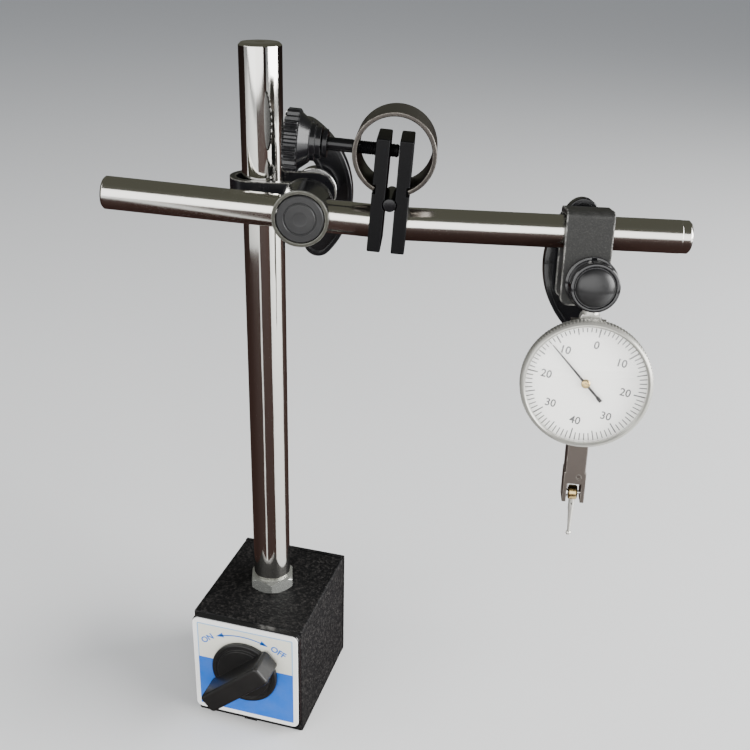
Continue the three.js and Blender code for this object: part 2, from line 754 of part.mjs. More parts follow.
// Outer leg, turned a little about the hinge pin, and the outer arm that it holds
function buildOuterArm(innerArm) {
  const moving = frameIn(innerArm, [legMiddle, 0, hingePinHeight]);
  const meeting = legStart + legThickness + legGap + legThickness * armMeetingShare;
  const legFrame = frameIn(moving, [0, 0, 0], [0, -degrees(outerLegSet), 0]);
  const half = legDepth / 2;
  const toPin = [-legMiddle, 0, -hingePinHeight];
  const legEnd = outerFace + legThickness;
  const boreStart = legFloor + outerFace - meeting;
  const bore = armBore(boreStart, legThickness + cutOverrun)
    .rotate([0, -outerArmSet, 0]).translate([meeting, 0, 0]).translate(toPin).rotate([0, outerLegSet, 0]);
  const leg = block([outerFace, -half, -legBottom], [legEnd, half, legTop])
    .subtract(pinGroove()).subtract(ringNotch(legEnd, 1)).translate(toPin).subtract(bore);
  piece(legFrame, 'outer_leg', leg, blackOxide());

  const arm = frameIn(moving, [meeting - legMiddle, 0, -hingePinHeight], [0, -degrees(outerArmSet), 0]);
  const armStart = boreStart + gap;
  piece(arm, 'outer_arm', chamferedRod(armRadius, armStart, outerArmReach, chamferSize, 'x'), chrome());
  return arm;
}

// Bracket: a square strap over the outer arm, with a hole for the holder pin in each ear
const bracketInner = armRadius + gap;
const bracketOuter = bracketInner + bracketSheet;

function buildBracket(outerArm) {
  const group = frameIn(outerArm, [bracketReach, 0, 0], [-degrees(bracketRoll), 0, 0]);
  const [left, right] = [-bracketLead - bracketWidth / 2, -bracketLead + bracketWidth / 2];
  const bottom = -holderDrop - holderSleeveRadius;
  const side = bracketOuter + cutOverrun;
  const height = bracketOuter - bottom;
  const plate = roundedRectangle(
    bracketWidth, height + bracketCornerRadius, bracketCornerRadius,
    (left + right) / 2, (bottom + bracketOuter + bracketCornerRadius) / 2,
  );
  const body = block([left, -bracketOuter, bottom], [right, bracketOuter, bracketOuter])
    .intersect(slab(plate, -side, side, smallSides / 4));
  const space = block(
    [left - cutOverrun, -bracketInner, bottom - cutOverrun],
    [right + cutOverrun, bracketInner, bracketInner],
  );
  const pinHole = rod(holderTailRadius + gap, -side, side, 'y').translate([0, 0, -holderDrop]);
  piece(group, 'arm_bracket', body.subtract(space).subtract(pinHole), greySteel());
  return group;
}

// Holder: a flanged sleeve and a headed pin, both crossed by the indicator's stem
const sleeveStart = bracketOuter + gap;
const stemPlane = sleeveStart + holderFlangeThickness + holderSleeveLength / 2;

function buildHolder(bracket) {
  const group = frameIn(bracket, [0, 0, -holderDrop]);
  const flangeEnd = sleeveStart + holderFlangeThickness;
  const sleeveEnd = flangeEnd + holderSleeveLength;
  const bore = holderPinRadius + gap;
  const holeReach = holderFlangeRadius + cutOverrun;
  const stemHole = rod(stemRadius + gap, -holeReach, holeReach, 'z', smallSides)
    .translate([0, -stemPlane, 0]);
  const sleeve = turned([
    [bore, -sleeveStart], [holderFlangeRadius, -sleeveStart], [holderFlangeRadius, -flangeEnd],
    [holderSleeveRadius, -flangeEnd], [holderSleeveRadius, -sleeveEnd], [bore, -sleeveEnd],
    [bore, -sleeveStart],
  ], 'y');
  piece(group, 'holder_sleeve', sleeve.subtract(stemHole), blackOxide());

  const headBack = sleeveEnd + gap;
  const headFront = headBack + holderHeadThickness;
  const washerStart = bracketOuter + gap;
  const tailEnd = washerStart + holderWasherThickness + gap + leverThickness;
  const profile = [
    [0, tailEnd], [holderTailRadius - chamferSize / 2, tailEnd],
    [holderTailRadius, tailEnd - chamferSize / 2],
    [holderTailRadius, -sleeveStart], [holderPinRadius, -sleeveStart], [holderPinRadius, -headBack],
    [holderHeadRadius, -headBack], [holderHeadRadius, -headFront], [holderDomeRadius, -headFront],
  ];
  const domeSteps = 5;
  for (let step = 1; step <= domeSteps; step += 1) {
    const angle = (step / domeSteps) * (Math.PI / 2);
    const radius = step === domeSteps ? 0 : holderDomeRadius * Math.cos(angle);
    profile.push([radius, -headFront - holderDomeBulge * Math.sin(angle)]);
  }
  piece(group, 'holder_pin', turned(profile, 'y').subtract(stemHole), blackOxide());

  const washer = tube(
    holderWasherRadius, holderTailRadius + gap, washerStart, washerStart + holderWasherThickness, 'y',
  );
  piece(group, 'holder_washer', washer, brightSteel());
  const leverStart = washerStart + holderWasherThickness + gap;
  buildLever(group, 'lower_lever', [0, leverStart, 0], holderTailRadius, lowerLeverTilt);
  return group;
}

// Indicator case, seen from its stem: Y = 0 is the case's middle plane, Z = 0 the holder's axis
const caseFront = -caseDepth / 2;
const caseRear = caseDepth / 2;
const caseTop = -stemBlockTop - stemBlockHeight - gap;
const forkInner = forkWidth / 2 - forkEar;
const cavityHalf = caseWidth / 2 - caseWall;
const movementY = crownSetback;

const [wide, narrow] = [caseWidth / 2, caseNarrowWidth / 2];
const caseOutline = outline([
  [wide, caseTop], [wide, -caseTaperTop], [narrow, -caseTaperBottom], [narrow, -caseBottom],
  [-narrow, -caseBottom], [-narrow, -caseTaperBottom], [-wide, -caseTaperTop], [-wide, caseTop],
]);

function coverScrewPlaces() {
  const shoulderX = (forkInner + caseWidth / 2) / 2;
  return [[0, caseTop - caseTopWall / 2], [shoulderX, -caseTaperTop + caseShoulder / 2]];
}

function coverScrewHoles(from, to) {
  const hole = rod(coverScrewShankRadius + gap / 2, from, to, 'y', smallSides / 2);
  return coverScrewPlaces().map(([x, z]) => hole.translate([x, 0, z])).reduce((all, next) => all.add(next));
}

function buildStem(group) {
  const stem = rod(stemRadius, -stemBlockTop - stemBlockHeight / 2, stemTop, 'z', smallSides);
  const [top, bottom] = [-stemBlockTop, -stemBlockTop - stemBlockHeight];
  const blockShape = outline([
    [stemBlockTopWidth / 2, top], [-stemBlockTopWidth / 2, top],
    [-stemBlockWidth / 2, (top + bottom) / 2], [-stemBlockWidth / 2, bottom],
    [stemBlockWidth / 2, bottom], [stemBlockWidth / 2, (top + bottom) / 2],
  ]);
  const foot = slab(blockShape, -stemBlockDepth / 2, stemBlockDepth / 2);
  piece(group, 'indicator_stem', stem.add(foot), brightSteel());
}

function buildCase(group) {
  const shell = slab(caseOutline, caseFront, caseRear);
  const [webTop, webBottom] = [-caseBottom + forkEar, -caseBottom - forkEar];
  const ears = block([-forkWidth / 2, caseFront, -forkBottom], [forkWidth / 2, caseRear, webTop]);
  const [cutFront, cutRear] = [caseFront - cutOverrun, caseRear + cutOverrun];
  const cavityBottom = -caseTaperTop + caseShoulder;
  const cavity = block(
    [-cavityHalf, caseFront + caseWall, cavityBottom], [cavityHalf, cutRear, caseTop - caseTopWall],
  );
  const slot = block(
    [-forkInner, caseFront + caseWall, webBottom], [forkInner, cutRear, cavityBottom + cutOverrun],
  );
  const fork = block(
    [-forkInner, cutFront, -forkBottom - cutOverrun], [forkInner, cutRear, webBottom],
  );
  const wallEnd = caseFront + caseWall + cutOverrun;
  const arborHole = rod(jewelRadius + gap, cutFront, wallEnd, 'y', smallSides)
    .translate([0, 0, -dialDrop]);
  const jewelPocket = rod(jewelRadius + gap, -caseWidth / 2 + gap, caseWidth / 2 - gap, 'x', smallSides)
    .translate([0, movementY, -dialDrop]);
  const pinHole = rod(pivotPinRadius + gap, -forkWidth, forkWidth, 'x', smallSides)
    .translate([0, 0, -pivotDrop]);
  const screwHole = rod(forkHoleRadius, cutFront, wallEnd, 'y', smallSides)
    .translate([forkHoleOffset, 0, -caseBottom + forkHoleRise]);
  const coverHoles = coverScrewHoles(caseRear - coverScrewShankLength, cutRear);
  const body = shell.add(ears).subtract(cavity).subtract(slot).subtract(fork)
    .subtract(arborHole).subtract(jewelPocket).subtract(pinHole).subtract(screwHole).subtract(coverHoles);
  piece(group, 'indicator_case', body, satinNickel());

  const [coverStart, coverEnd] = [caseRear + gap, caseRear + gap + backCoverThickness];
  const plateHoles = coverScrewHoles(coverStart - cutOverrun, coverEnd + cutOverrun);
  piece(group, 'back_cover', slab(caseOutline, coverStart, coverEnd).subtract(plateHoles), satinNickel());

  const headBase = coverEnd + gap;
  const coverScrew = turned([
    [0, headBase - coverScrewShankLength], [coverScrewShankRadius, headBase - coverScrewShankLength],
    [coverScrewShankRadius, headBase], [coverScrewRadius, headBase],
    [coverScrewRadius, headBase + coverScrewHeadHeight], [0, headBase + coverScrewHeadHeight],
  ], 'y', smallSides / 2);
  coverScrewPlaces().forEach(([x, z], i) => {
    piece(frameIn(group, [x, 0, z]), `cover_screw_${i + 1}`, coverScrew, brightSteel());
  });
}

// Dial: housing, face, bezel, crystal and needle, stacked towards the viewer
const housingBack = caseFront - gap;
const housingFront = housingBack - housingFloor;
const rimFront = housingFront - housingRim;
const faceBack = rimFront - gap;
const faceFront = faceBack - dialFaceThickness;
const bezelBack = housingBack - gap;
const bezelFront = bezelBack - bezelDepth;
const lipBack = bezelFront + bezelLip;
const bezelInner = bezelRadius - bezelWall;

function buildDial(parent) {
  const group = frameIn(parent, [0, 0, -dialDrop]);
  const hole = jewelRadius + gap;
  const housingRadius = bezelInner - gap;
  const housing = turned([
    [hole, housingBack], [housingRadius, housingBack], [housingRadius, rimFront],
    [housingRadius - housingWall, rimFront], [housingRadius - housingWall, housingFront],
    [hole, housingFront], [hole, housingBack],
  ], 'y', fineSides);
  piece(group, 'dial_housing', housing, satinNickel());

  const face = tube(bezelInner - gap, arborRadius + gap, faceFront, faceBack, 'y', fineSides);
  piece(group, 'dial_face', face, finish(0xe8e8e4, 0.5, 0));

  const bezel = turned([
    [bezelInner, bezelBack], [bezelRadius, bezelBack], [bezelRadius, bezelFront + bezelChamfer],
    [bezelRadius - bezelChamfer, bezelFront], [bezelOpeningRadius + bezelChamfer / 2, bezelFront],
    [bezelOpeningRadius, bezelFront + bezelChamfer / 2], [bezelOpeningRadius, lipBack],
    [bezelInner, lipBack], [bezelInner, bezelBack],
  ], 'y', fineSides);
  piece(group, 'bezel', bezel, finish(0xd8d2bc, 0.25, 0.8));

  const crystalRadius = bezelOpeningRadius - gap;
  const crystal = rod(crystalRadius, lipBack - crystalThickness - gap, lipBack - gap, 'y', fineSides);
  const glass = finish(0xffffff, 0.03, 0);
  glass.transparent = true;
  glass.opacity = 0.25;
  piece(group, 'crystal', crystal, glass);
  buildNeedle(group);
}

function buildNeedle(dial) {
  const hubBack = faceFront - gap;
  const hubFront = hubBack - needleHubThickness;
  const bladeBack = (hubBack + hubFront) / 2 + needleThickness / 2;
  const tailStart = -needleTail * needleTailShare;
  const blade = outline([
    [-needleRootWidth / 2, 0], [-needleTailWidth / 2, tailStart], [-needleTailWidth / 2, -needleTail],
    [needleTailWidth / 2, -needleTail], [needleTailWidth / 2, tailStart], [needleRootWidth / 2, 0],
    [needleTipWidth / 2, needleReach], [-needleTipWidth / 2, needleReach],
  ]);
  const hub = turned([
    [0, hubFront], [needleHubRadius * headTaperShare, hubFront],
    [needleHubRadius, hubFront + needleThickness], [needleHubRadius, hubBack], [0, hubBack],
  ], 'y', smallSides);
  const boreEnd = hubFront + needleThickness;
  const bore = rod(arborRadius + gap / 2, boreEnd, hubBack + cutOverrun, 'y', smallSides);
  const needle = slab(blade, bladeBack - needleThickness, bladeBack).add(hub).subtract(bore)
    .rotate([0, -needleAngle, 0]);
  piece(dial, 'needle', needle, finish(0x17171a, 0.4, 0.3));

  const arborFront = boreEnd + gap;
  const arborRear = movementY - arborRadius - gap;
  const pinionFront = caseFront + caseWall + arborCut;
  const pinionShape = toothedOutline(pinionRadius, toothDepth, pinionTeeth);
  const arbor = rod(arborRadius, arborFront, arborRear, 'y', smallSides / 2)
    .add(slab(pinionShape, pinionFront, pinionFront + pinionLength));
  piece(dial, 'needle_arbor', arbor, brightSteel());
}

// Movement: the crown wheel on its cross arbor, its jewels and the lever that drives it
function buildMovement(group) {
  const wheel = frameIn(group, [0, movementY, -dialDrop]);
  const crownStart = pinionRadius + gap;
  const sideways = { bevelEnabled: false };
  const crownShape = toothedOutline(crownRadius, toothDepth, crownTeeth);
  const crown = new THREE.ExtrudeGeometry(crownShape, { ...sideways, depth: crownThickness });
  crown.rotateY(Math.PI / 2);
  crown.translate(crownStart, 0, 0);
  const smallStart = -forkInner + gap - leverPlate / 2;
  const small = new THREE.ExtrudeGeometry(
    toothedOutline(smallPinionRadius, toothDepth, pinionTeeth), { ...sideways, depth: 2 * leverPlate },
  );
  small.rotateY(Math.PI / 2);
  small.translate(smallStart, 0, 0);
  const arborHalf = cavityHalf + jewelThickness;
  const arbor = rod(arborRadius, -arborHalf, arborHalf, 'x', smallSides / 2);
  piece(wheel, 'crown_gear', toSolid(crown).add(toSolid(small)).add(arbor), brass());

  const pocketEnd = caseWidth / 2 - gap;
  const ring = (from, to, axis) => tube(jewelRadius, arborRadius + gap / 2, from, to, axis, smallSides / 2);
  const ruby = finish(0xb01838, 0.1, 0);
  piece(wheel, 'jewel_left', ring(-pocketEnd + gap, -pocketEnd + gap + jewelThickness, 'x'), ruby);
  piece(wheel, 'jewel_right', ring(pocketEnd - gap - jewelThickness, pocketEnd - gap, 'x'), ruby);

  const lever = frameIn(group, [0, 0, -pivotDrop]);
  const plateStart = -forkInner + gap;
  const sectorTop = pivotDrop - dialDrop - smallPinionRadius - gap;
  const sectorBase = sectorTop - sectorHeight;
  const shape = outline([
    [-innerLeverWidth / 2, 0], [innerLeverWidth / 2, 0], [innerLeverWidth / 2, sectorBase],
    [sectorHalfWidth, sectorTop - sectorRimHeight], [sectorHalfWidth, sectorTop],
    [-sectorHalfWidth, sectorTop], [-sectorHalfWidth, sectorTop - sectorRimHeight],
    [-innerLeverWidth / 2, sectorBase],
  ]);
  const eye = rod(leverEyeRadius, plateStart, plateStart + leverPlate, 'x', smallSides);
  const plate = slab(shape, -leverPlate, 0).rotate([0, 0, 90]).translate([plateStart, 0, 0]);
  const pinBore = rod(pivotPinRadius + gap / 2, -forkInner, forkInner, 'x', smallSides);
  piece(lever, 'inner_lever', plate.add(eye).subtract(pinBore), brightSteel());
  const pinHalf = forkWidth / 2 - gap / 2;
  piece(lever, 'pivot_pin', rod(pivotPinRadius, -pinHalf, pinHalf, 'x', smallSides), brightSteel());
}

// Stylus: a brass knuckle on the pivot pin, a tapered rod and its ball
function buildStylus(parent) {
  const group = frameIn(parent, [0, 0, -pivotDrop]);
  const rodSeat = knuckleRadius - stylusSeat;
  const seat = rod(stylusTopRadius + gap / 2, -knuckleRadius - cutOverrun, -rodSeat, 'z', smallSides);
  const knuckle = chamferedRod(knuckleRadius, -knuckleWidth / 2, knuckleWidth / 2, gap, 'x')
    .subtract(rod(pivotPinRadius + gap / 2, -knuckleWidth, knuckleWidth, 'x', smallSides)).subtract(seat);
  piece(group, 'stylus_knuckle', knuckle, brass());

  const ballSteps = 8;
  const neckAngle = Math.asin(stylusTipRadius / stylusBallRadius);
  const top = -rodSeat - gap;
  const profile = [[0, top], [stylusTopRadius, top], [stylusTopRadius, -knuckleRadius - stylusTopRadius]];
  for (let step = 0; step <= ballSteps; step += 1) {
    const angle = neckAngle + (step / ballSteps) * (Math.PI - neckAngle);
    const radius = step === ballSteps ? 0 : stylusBallRadius * Math.sin(angle);
    profile.push([radius, -stylusReach + stylusBallRadius * Math.cos(angle)]);
  }
  piece(group, 'stylus', turned(profile, 'z', smallSides), brightSteel());
}

buildBase(part);
buildSwitch(part);
buildPost(part);
const head = frameIn(part, [0, 0, clampHeight], [0, 0, degrees(headSwing)]);
buildPostClip(head);
buildCrossClamp(head);
const innerArm = buildInnerArm(head);
buildAdjuster(innerArm);
const outerArm = buildOuterArm(innerArm);
const bracket = buildBracket(outerArm);
const holder = buildHolder(bracket);
const indicator = frameIn(holder, [0, -stemPlane, 0], [0, 0, -degrees(indicatorYaw)]);
buildStem(indicator);
buildCase(indicator);
buildDial(indicator);
buildMovement(indicator);
buildStylus(indicator);

export default part;
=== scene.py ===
"""Looks for a dial indicator on a jointed stand with a switchable magnetic base.

The packed model is the fixed frame. Each sub-assembly is a class that holds its sizes in
millimetres and builds the pieces that stand for the plain solids. Every piece is made in its
own small frame, a Place, and is put where the packed model's joints say it goes.
"""

import json
import logging
import math
from collections.abc import Callable, Sequence
from dataclasses import dataclass, replace
from enum import Enum
from typing import ClassVar

import bmesh
import bpy
from bpy.types import Material, Node, NodeSocket, ShaderNodeTree
from mathutils import Matrix, Vector


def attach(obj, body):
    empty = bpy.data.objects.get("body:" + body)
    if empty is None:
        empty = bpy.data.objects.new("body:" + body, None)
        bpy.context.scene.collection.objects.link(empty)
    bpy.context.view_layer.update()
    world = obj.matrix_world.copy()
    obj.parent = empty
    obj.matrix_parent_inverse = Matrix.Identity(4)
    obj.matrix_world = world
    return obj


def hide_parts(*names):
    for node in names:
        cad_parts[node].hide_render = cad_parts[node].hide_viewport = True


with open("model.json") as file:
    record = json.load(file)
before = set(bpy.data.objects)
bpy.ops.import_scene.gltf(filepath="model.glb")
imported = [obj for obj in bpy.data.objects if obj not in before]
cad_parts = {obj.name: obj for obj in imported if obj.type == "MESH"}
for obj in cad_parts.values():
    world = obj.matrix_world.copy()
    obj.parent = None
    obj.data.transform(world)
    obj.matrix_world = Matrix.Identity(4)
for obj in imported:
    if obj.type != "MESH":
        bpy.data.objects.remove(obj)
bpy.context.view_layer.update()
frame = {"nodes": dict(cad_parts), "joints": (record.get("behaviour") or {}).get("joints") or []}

log = logging.getLogger("scene")

MM = 0.001
FULL_TURN = 2 * math.pi

MERGE = 0.0005
"""Points nearer to each other than this are made one, in millimetres."""

SHARP = 28.0
"""Edges that bend by more than this are the ones that are eased, in degrees."""

PAST = 2.0
"""How far a cutting shape reaches past the surface that it cuts, in millimetres."""

Point = tuple[float, float]
Triple = tuple[float, float, float]


class Axis(Enum):
    """The axes of a piece's own frame."""

    X = (1.0, 0.0, 0.0)
    Y = (0.0, 1.0, 0.0)
    Z = (0.0, 0.0, 1.0)


@dataclass(frozen=True)
class Place:
    """Where a piece's own frame lies on the part, in metres."""

    matrix: Matrix

    @classmethod
    def of(cls, origin: Sequence[float], x: Sequence[float], y: Sequence[float]) -> "Place":
        """Makes a place from an origin and two axes.

        Args:
            origin: the frame's origin in metres.
            x: the direction of its X axis.
            y: the direction of its Y axis, square to x.

        Returns:
            The place, with Z to the right hand of X and Y.
        """
        along = Vector(x).normalized()
        across = (Vector(y) - Vector(y).dot(along) * along).normalized()
        turn = Matrix((along, across, along.cross(across))).transposed().to_4x4()
        return cls(Matrix.Translation(Vector(origin)) @ turn)

    def shifted(self, x: float = 0.0, y: float = 0.0, z: float = 0.0) -> "Place":
        """Moves the place along its own axes, in millimetres."""
        return Place(self.matrix @ Matrix.Translation(Vector((x, y, z)) * MM))

    def turned(self, angle: float, axis: Axis) -> "Place":
        """Turns the place about one of its own axes, in degrees."""
        return Place(self.matrix @ Matrix.Rotation(math.radians(angle), 4, Vector(axis.value)))


def joint(name: str) -> dict:
    """Gives one joint of the packed model by its name."""
    return next(j for j in frame["joints"] if j["name"] == name)


def joint_point(name: str) -> Vector:
    """Gives the point a hinge turns about, in metres."""
    return Vector(joint(name)["pos_m"])


def joint_axis(name: str) -> Vector:
    """Gives a joint's axis as a unit vector."""
    return Vector(joint(name)["axis"]).normalized()


@dataclass(frozen=True)
class Places:
    """The frames that the stand's pieces are built in, read from the packed joints."""

    arm_plane: float = 22.24
    knob_height: float = 31.0

    @property
    def floor(self) -> Place:
        """The part's own frame."""
        return Place(Matrix.Identity(4))

    @property
    def switch(self) -> Place:
        """The switch's axis, at the middle of the base."""
        return self.floor.shifted(z=self.knob_height)

    @property
    def clamp(self) -> Place:
        """The cross clamp, with Y along its pin, away from the viewer."""
        y = -joint_axis("arm_tilt")
        return Place.of(joint_point("arm_tilt"), y.cross(Vector(Axis.Z.value)), y)

    @property
    def head(self) -> Place:
        """The post's axis at the height of the clamp."""
        at = self.clamp.matrix.translation
        return Place.of((0.0, 0.0, at.z), self.clamp.matrix.col[0].xyz, self.clamp.matrix.col[1].xyz)

    @property
    def inner_arm(self) -> Place:
        """The inner arm, with X along it."""
        start = self.clamp.shifted(y=-self.arm_plane).matrix.translation
        return Place.of(start, joint_axis("arm_reach"), -joint_axis("arm_tilt"))

    @property
    def screw(self) -> Place:
        """The adjusting screw, with X along it."""
        return Place.of(joint_point("adjust_turn"), joint_axis("adjust_turn"), -joint_axis("arm_tilt"))

    @property
    def hinge(self) -> Place:
        """The hinge pin between the legs, with X along the inner arm."""
        return Place.of(joint_point("fine_adjust"), joint_axis("arm_reach"), joint_axis("fine_adjust"))

    @property
    def bracket(self) -> Place:
        """The bracket on the outer arm, rolled about it."""
        return Place.of(joint_point("bracket_roll"), joint_axis("bracket_roll"), -joint_axis("holder_swivel"))

    @property
    def outer_arm(self) -> Place:
        """The outer arm at the bracket, with X along it and Y level."""
        return Place.of(joint_point("bracket_roll"), joint_axis("bracket_roll"), joint_axis("fine_adjust"))

    @property
    def holder(self) -> Place:
        """The holder's pin, with Y along it."""
        swivel = "holder_swivel"
        return Place.of(joint_point(swivel), joint_axis("bracket_roll"), -joint_axis(swivel))

    @property
    def indicator(self) -> Place:
        """The indicator's stem at the height of the holder, with Y through the case."""
        return Place.of(joint_point("indicator_turn"), joint_axis("crown_turn"), -joint_axis("bezel_turn"))

    @property
    def dial(self) -> Place:
        """The dial's middle, with Y away from the viewer."""
        return Place.of(joint_point("bezel_turn"), joint_axis("crown_turn"), -joint_axis("bezel_turn"))

    @property
    def pivot(self) -> Place:
        """The stylus's pivot, with X along its pin."""
        return Place.of(joint_point("stylus_set"), joint_axis("stylus_set"), -joint_axis("bezel_turn"))


def new_object(name: str, data: bpy.types.ID) -> bpy.types.Object:
    """Puts a new object in the scene.

    Args:
        name: its name.
        data: its mesh, letters, light or camera.

    Returns:
        The object.
    """
    made = bpy.data.objects.new(name, data)
    bpy.context.scene.collection.objects.link(made)
    return made


def rectangle(left: float, low: float, right: float, high: float) -> list[Point]:
    """Gives a rectangle's corners, from the low left one round by the low right one."""
    return [(left, low), (right, low), (right, high), (left, high)]


def arc(middle: Point, radius: float, first: float, last: float, steps: int) -> list[Point]:
    """Gives points on an arc.

    Args:
        middle: the arc's middle.
        radius: its radius.
        first: the angle of the first point, in degrees.
        last: the angle of the last point.
        steps: the number of steps between them.

    Returns:
        The points, both ends among them.
    """
    angles = [math.radians(first + (last - first) * step / steps) for step in range(steps + 1)]
    return [(middle[0] + radius * math.cos(angle), middle[1] + radius * math.sin(angle)) for angle in angles]


class Solid:
    """A closed shape on its way to being a piece, in millimetres, in its own frame."""

    def __init__(self, mesh: bmesh.types.BMesh) -> None:
        """Takes over a bmesh."""
        self.mesh = mesh

    @classmethod
    def block(cls, low: Triple, high: Triple) -> "Solid":
        """Makes a box.

        Args:
            low: its lowest corner.
            high: its highest corner.

        Returns:
            The box.
        """
        mesh = bmesh.new()
        size = Vector(high) - Vector(low)
        middle = (Vector(high) + Vector(low)) / 2
        placed = Matrix.Translation(middle) @ Matrix.Diagonal(size.to_4d())
        bmesh.ops.create_cube(mesh, size=1.0, matrix=placed)
        return cls(mesh)

    @classmethod
    def drawn(
        cls, outline: Sequence[Point], start: float, end: float,
        corners: dict[float, Sequence[int]] | None = None,
    ) -> "Solid":
        """Makes a slab from a flat outline in X and Z.

        Args:
            outline: the outline's corner points.
            start: where the slab starts along Y.
            end: where it ends along Y.
            corners: for each radius, the numbers of the corners that are rounded to it.

        Returns:
            The closed slab.
        """
        mesh = bmesh.new()
        points = [mesh.verts.new((x, start, z)) for x, z in outline]
        mesh.faces.new(points)
        for radius, numbers in (corners or {}).items():
            bmesh.ops.bevel(
                mesh, geom=[points[n] for n in numbers], offset=radius, offset_type="OFFSET",
                segments=max(4, int(3 + radius)), profile=0.5, affect="VERTICES", material=-1,
                clamp_overlap=False,
            )
        bmesh.ops.remove_doubles(mesh, verts=mesh.verts, dist=0.001)
        side = bmesh.ops.extrude_face_region(mesh, geom=mesh.faces[:])
        moved = [part for part in side["geom"] if isinstance(part, bmesh.types.BMVert)]
        bmesh.ops.translate(mesh, verts=moved, vec=(0.0, end - start, 0.0))
        bmesh.ops.recalc_face_normals(mesh, faces=mesh.faces)
        return cls(mesh)

    @classmethod
    def turned(
        cls, profile: Sequence[Point], axis: Axis = Axis.Y, rounding: float = 0.0, steps: int = 96
    ) -> "Solid":
        """Makes a turned solid.

        Args:
            profile: the closed half section, as radius and place along the axis.
            axis: the axis it is turned about.
            rounding: the radius that the section's corners are eased to.
            steps: the number of steps round the axis.

        Returns:
            The closed solid.
        """
        mesh = bmesh.new()
        points = [mesh.verts.new((radius, along, 0.0)) for radius, along in profile]
        section = mesh.faces.new(points)
        if rounding > 0:
            eased = [point for point in points if point.co.x > rounding]
            bmesh.ops.bevel(
                mesh, geom=eased, offset=rounding, offset_type="OFFSET", segments=3,
                profile=0.5, affect="VERTICES", material=-1, clamp_overlap=True,
            )
            section = mesh.faces[:][0]
        bmesh.ops.delete(mesh, geom=[section], context="FACES_ONLY")
        inner = [edge for edge in mesh.edges if all(abs(vert.co.x) < 1e-6 for vert in edge.verts)]
        bmesh.ops.delete(mesh, geom=inner, context="EDGES")
        bmesh.ops.spin(
            mesh, geom=mesh.verts[:] + mesh.edges[:], cent=(0.0, 0.0, 0.0), axis=(0.0, 1.0, 0.0),
            angle=FULL_TURN, steps=steps, use_merge=True,
        )
        bmesh.ops.remove_doubles(mesh, verts=mesh.verts, dist=MERGE)
        bmesh.ops.recalc_face_normals(mesh, faces=mesh.faces)
        solid = cls(mesh)
        if axis is Axis.Z:
            solid.spun(90.0, Axis.X)
        if axis is Axis.X:
            solid.spun(-90.0, Axis.Z)
        return solid

    @classmethod
    def rod(
        cls, radius: float, start: float, end: float, axis: Axis = Axis.Y,
        rounding: float = 0.0, steps: int = 64,
    ) -> "Solid":
        """Makes a round rod along an axis, from start to end."""
        return cls.turned([(0.0, start), (radius, start), (radius, end), (0.0, end)], axis, rounding, steps)

    @classmethod
    def tube(
        cls, outer: float, inner: float, start: float, end: float, axis: Axis = Axis.Y, rounding: float = 0.0
    ) -> "Solid":
        """Makes a tube along an axis, from start to end."""
        return cls.turned([(inner, start), (outer, start), (outer, end), (inner, end)], axis, rounding)

    @classmethod
    def band(cls, section: Sequence[Point], first: float, last: float, steps: int) -> "Solid":
        """Sweeps a closed section part of the way round the Y axis.

        Args:
            section: the section's corners, as radius and place along Y.
            first: the angle it starts at, in degrees from X towards Z.
            last: the angle it ends at.
            steps: the number of steps between them.

        Returns:
            The closed band.
        """
        mesh = bmesh.new()
        face = mesh.faces.new([mesh.verts.new((radius, along, 0.0)) for radius, along in section])
        turn = Matrix.Rotation(-math.radians(first), 3, "Y")
        bmesh.ops.rotate(mesh, verts=mesh.verts, cent=(0.0, 0.0, 0.0), matrix=turn)
        bmesh.ops.spin(
            mesh, geom=[face], cent=(0.0, 0.0, 0.0), axis=(0.0, 1.0, 0.0),
            angle=-math.radians(last - first), steps=steps, use_merge=False,
        )
        bmesh.ops.remove_doubles(mesh, verts=mesh.verts, dist=MERGE)
        closed = [f for f in mesh.faces if all(len(edge.link_faces) > 2 for edge in f.edges)]
        bmesh.ops.delete(mesh, geom=closed, context="FACES_ONLY")
        bmesh.ops.recalc_face_normals(mesh, faces=mesh.faces)
        return cls(mesh)

    def moved(self, x: float = 0.0, y: float = 0.0, z: float = 0.0) -> "Solid":
        """Moves the shape, in millimetres."""
        bmesh.ops.translate(self.mesh, verts=self.mesh.verts, vec=(x, y, z))
        return self

    def spun(self, angle: float, axis: Axis) -> "Solid":
        """Turns the shape.

        Args:
            angle: the angle in degrees.
            axis: the axis, through the origin.

        Returns:
            The same shape.
        """
        turn = Matrix.Rotation(math.radians(angle), 3, Vector(axis.value))
        bmesh.ops.rotate(self.mesh, verts=self.mesh.verts, cent=(0.0, 0.0, 0.0), matrix=turn)
        return self

    def ridged(self, depth: float, count: int, chosen: Callable[[Vector], bool]) -> "Solid":
        """Cuts straight grooves round the Y axis into a shape turned with four steps to a ridge.

        Args:
            depth: how deep the grooves are.
            count: the number of ridges.
            chosen: tells whether a point lies on the ridged part.

        Returns:
            The same shape.
        """
        for vert in self.mesh.verts:
            step = round(math.atan2(vert.co.z, vert.co.x) / FULL_TURN * 4 * count) % 4
            if step in (2, 3) and chosen(vert.co):
                reach = math.hypot(vert.co.x, vert.co.z)
                vert.co.x *= (reach - depth) / reach
                vert.co.z *= (reach - depth) / reach
        return self

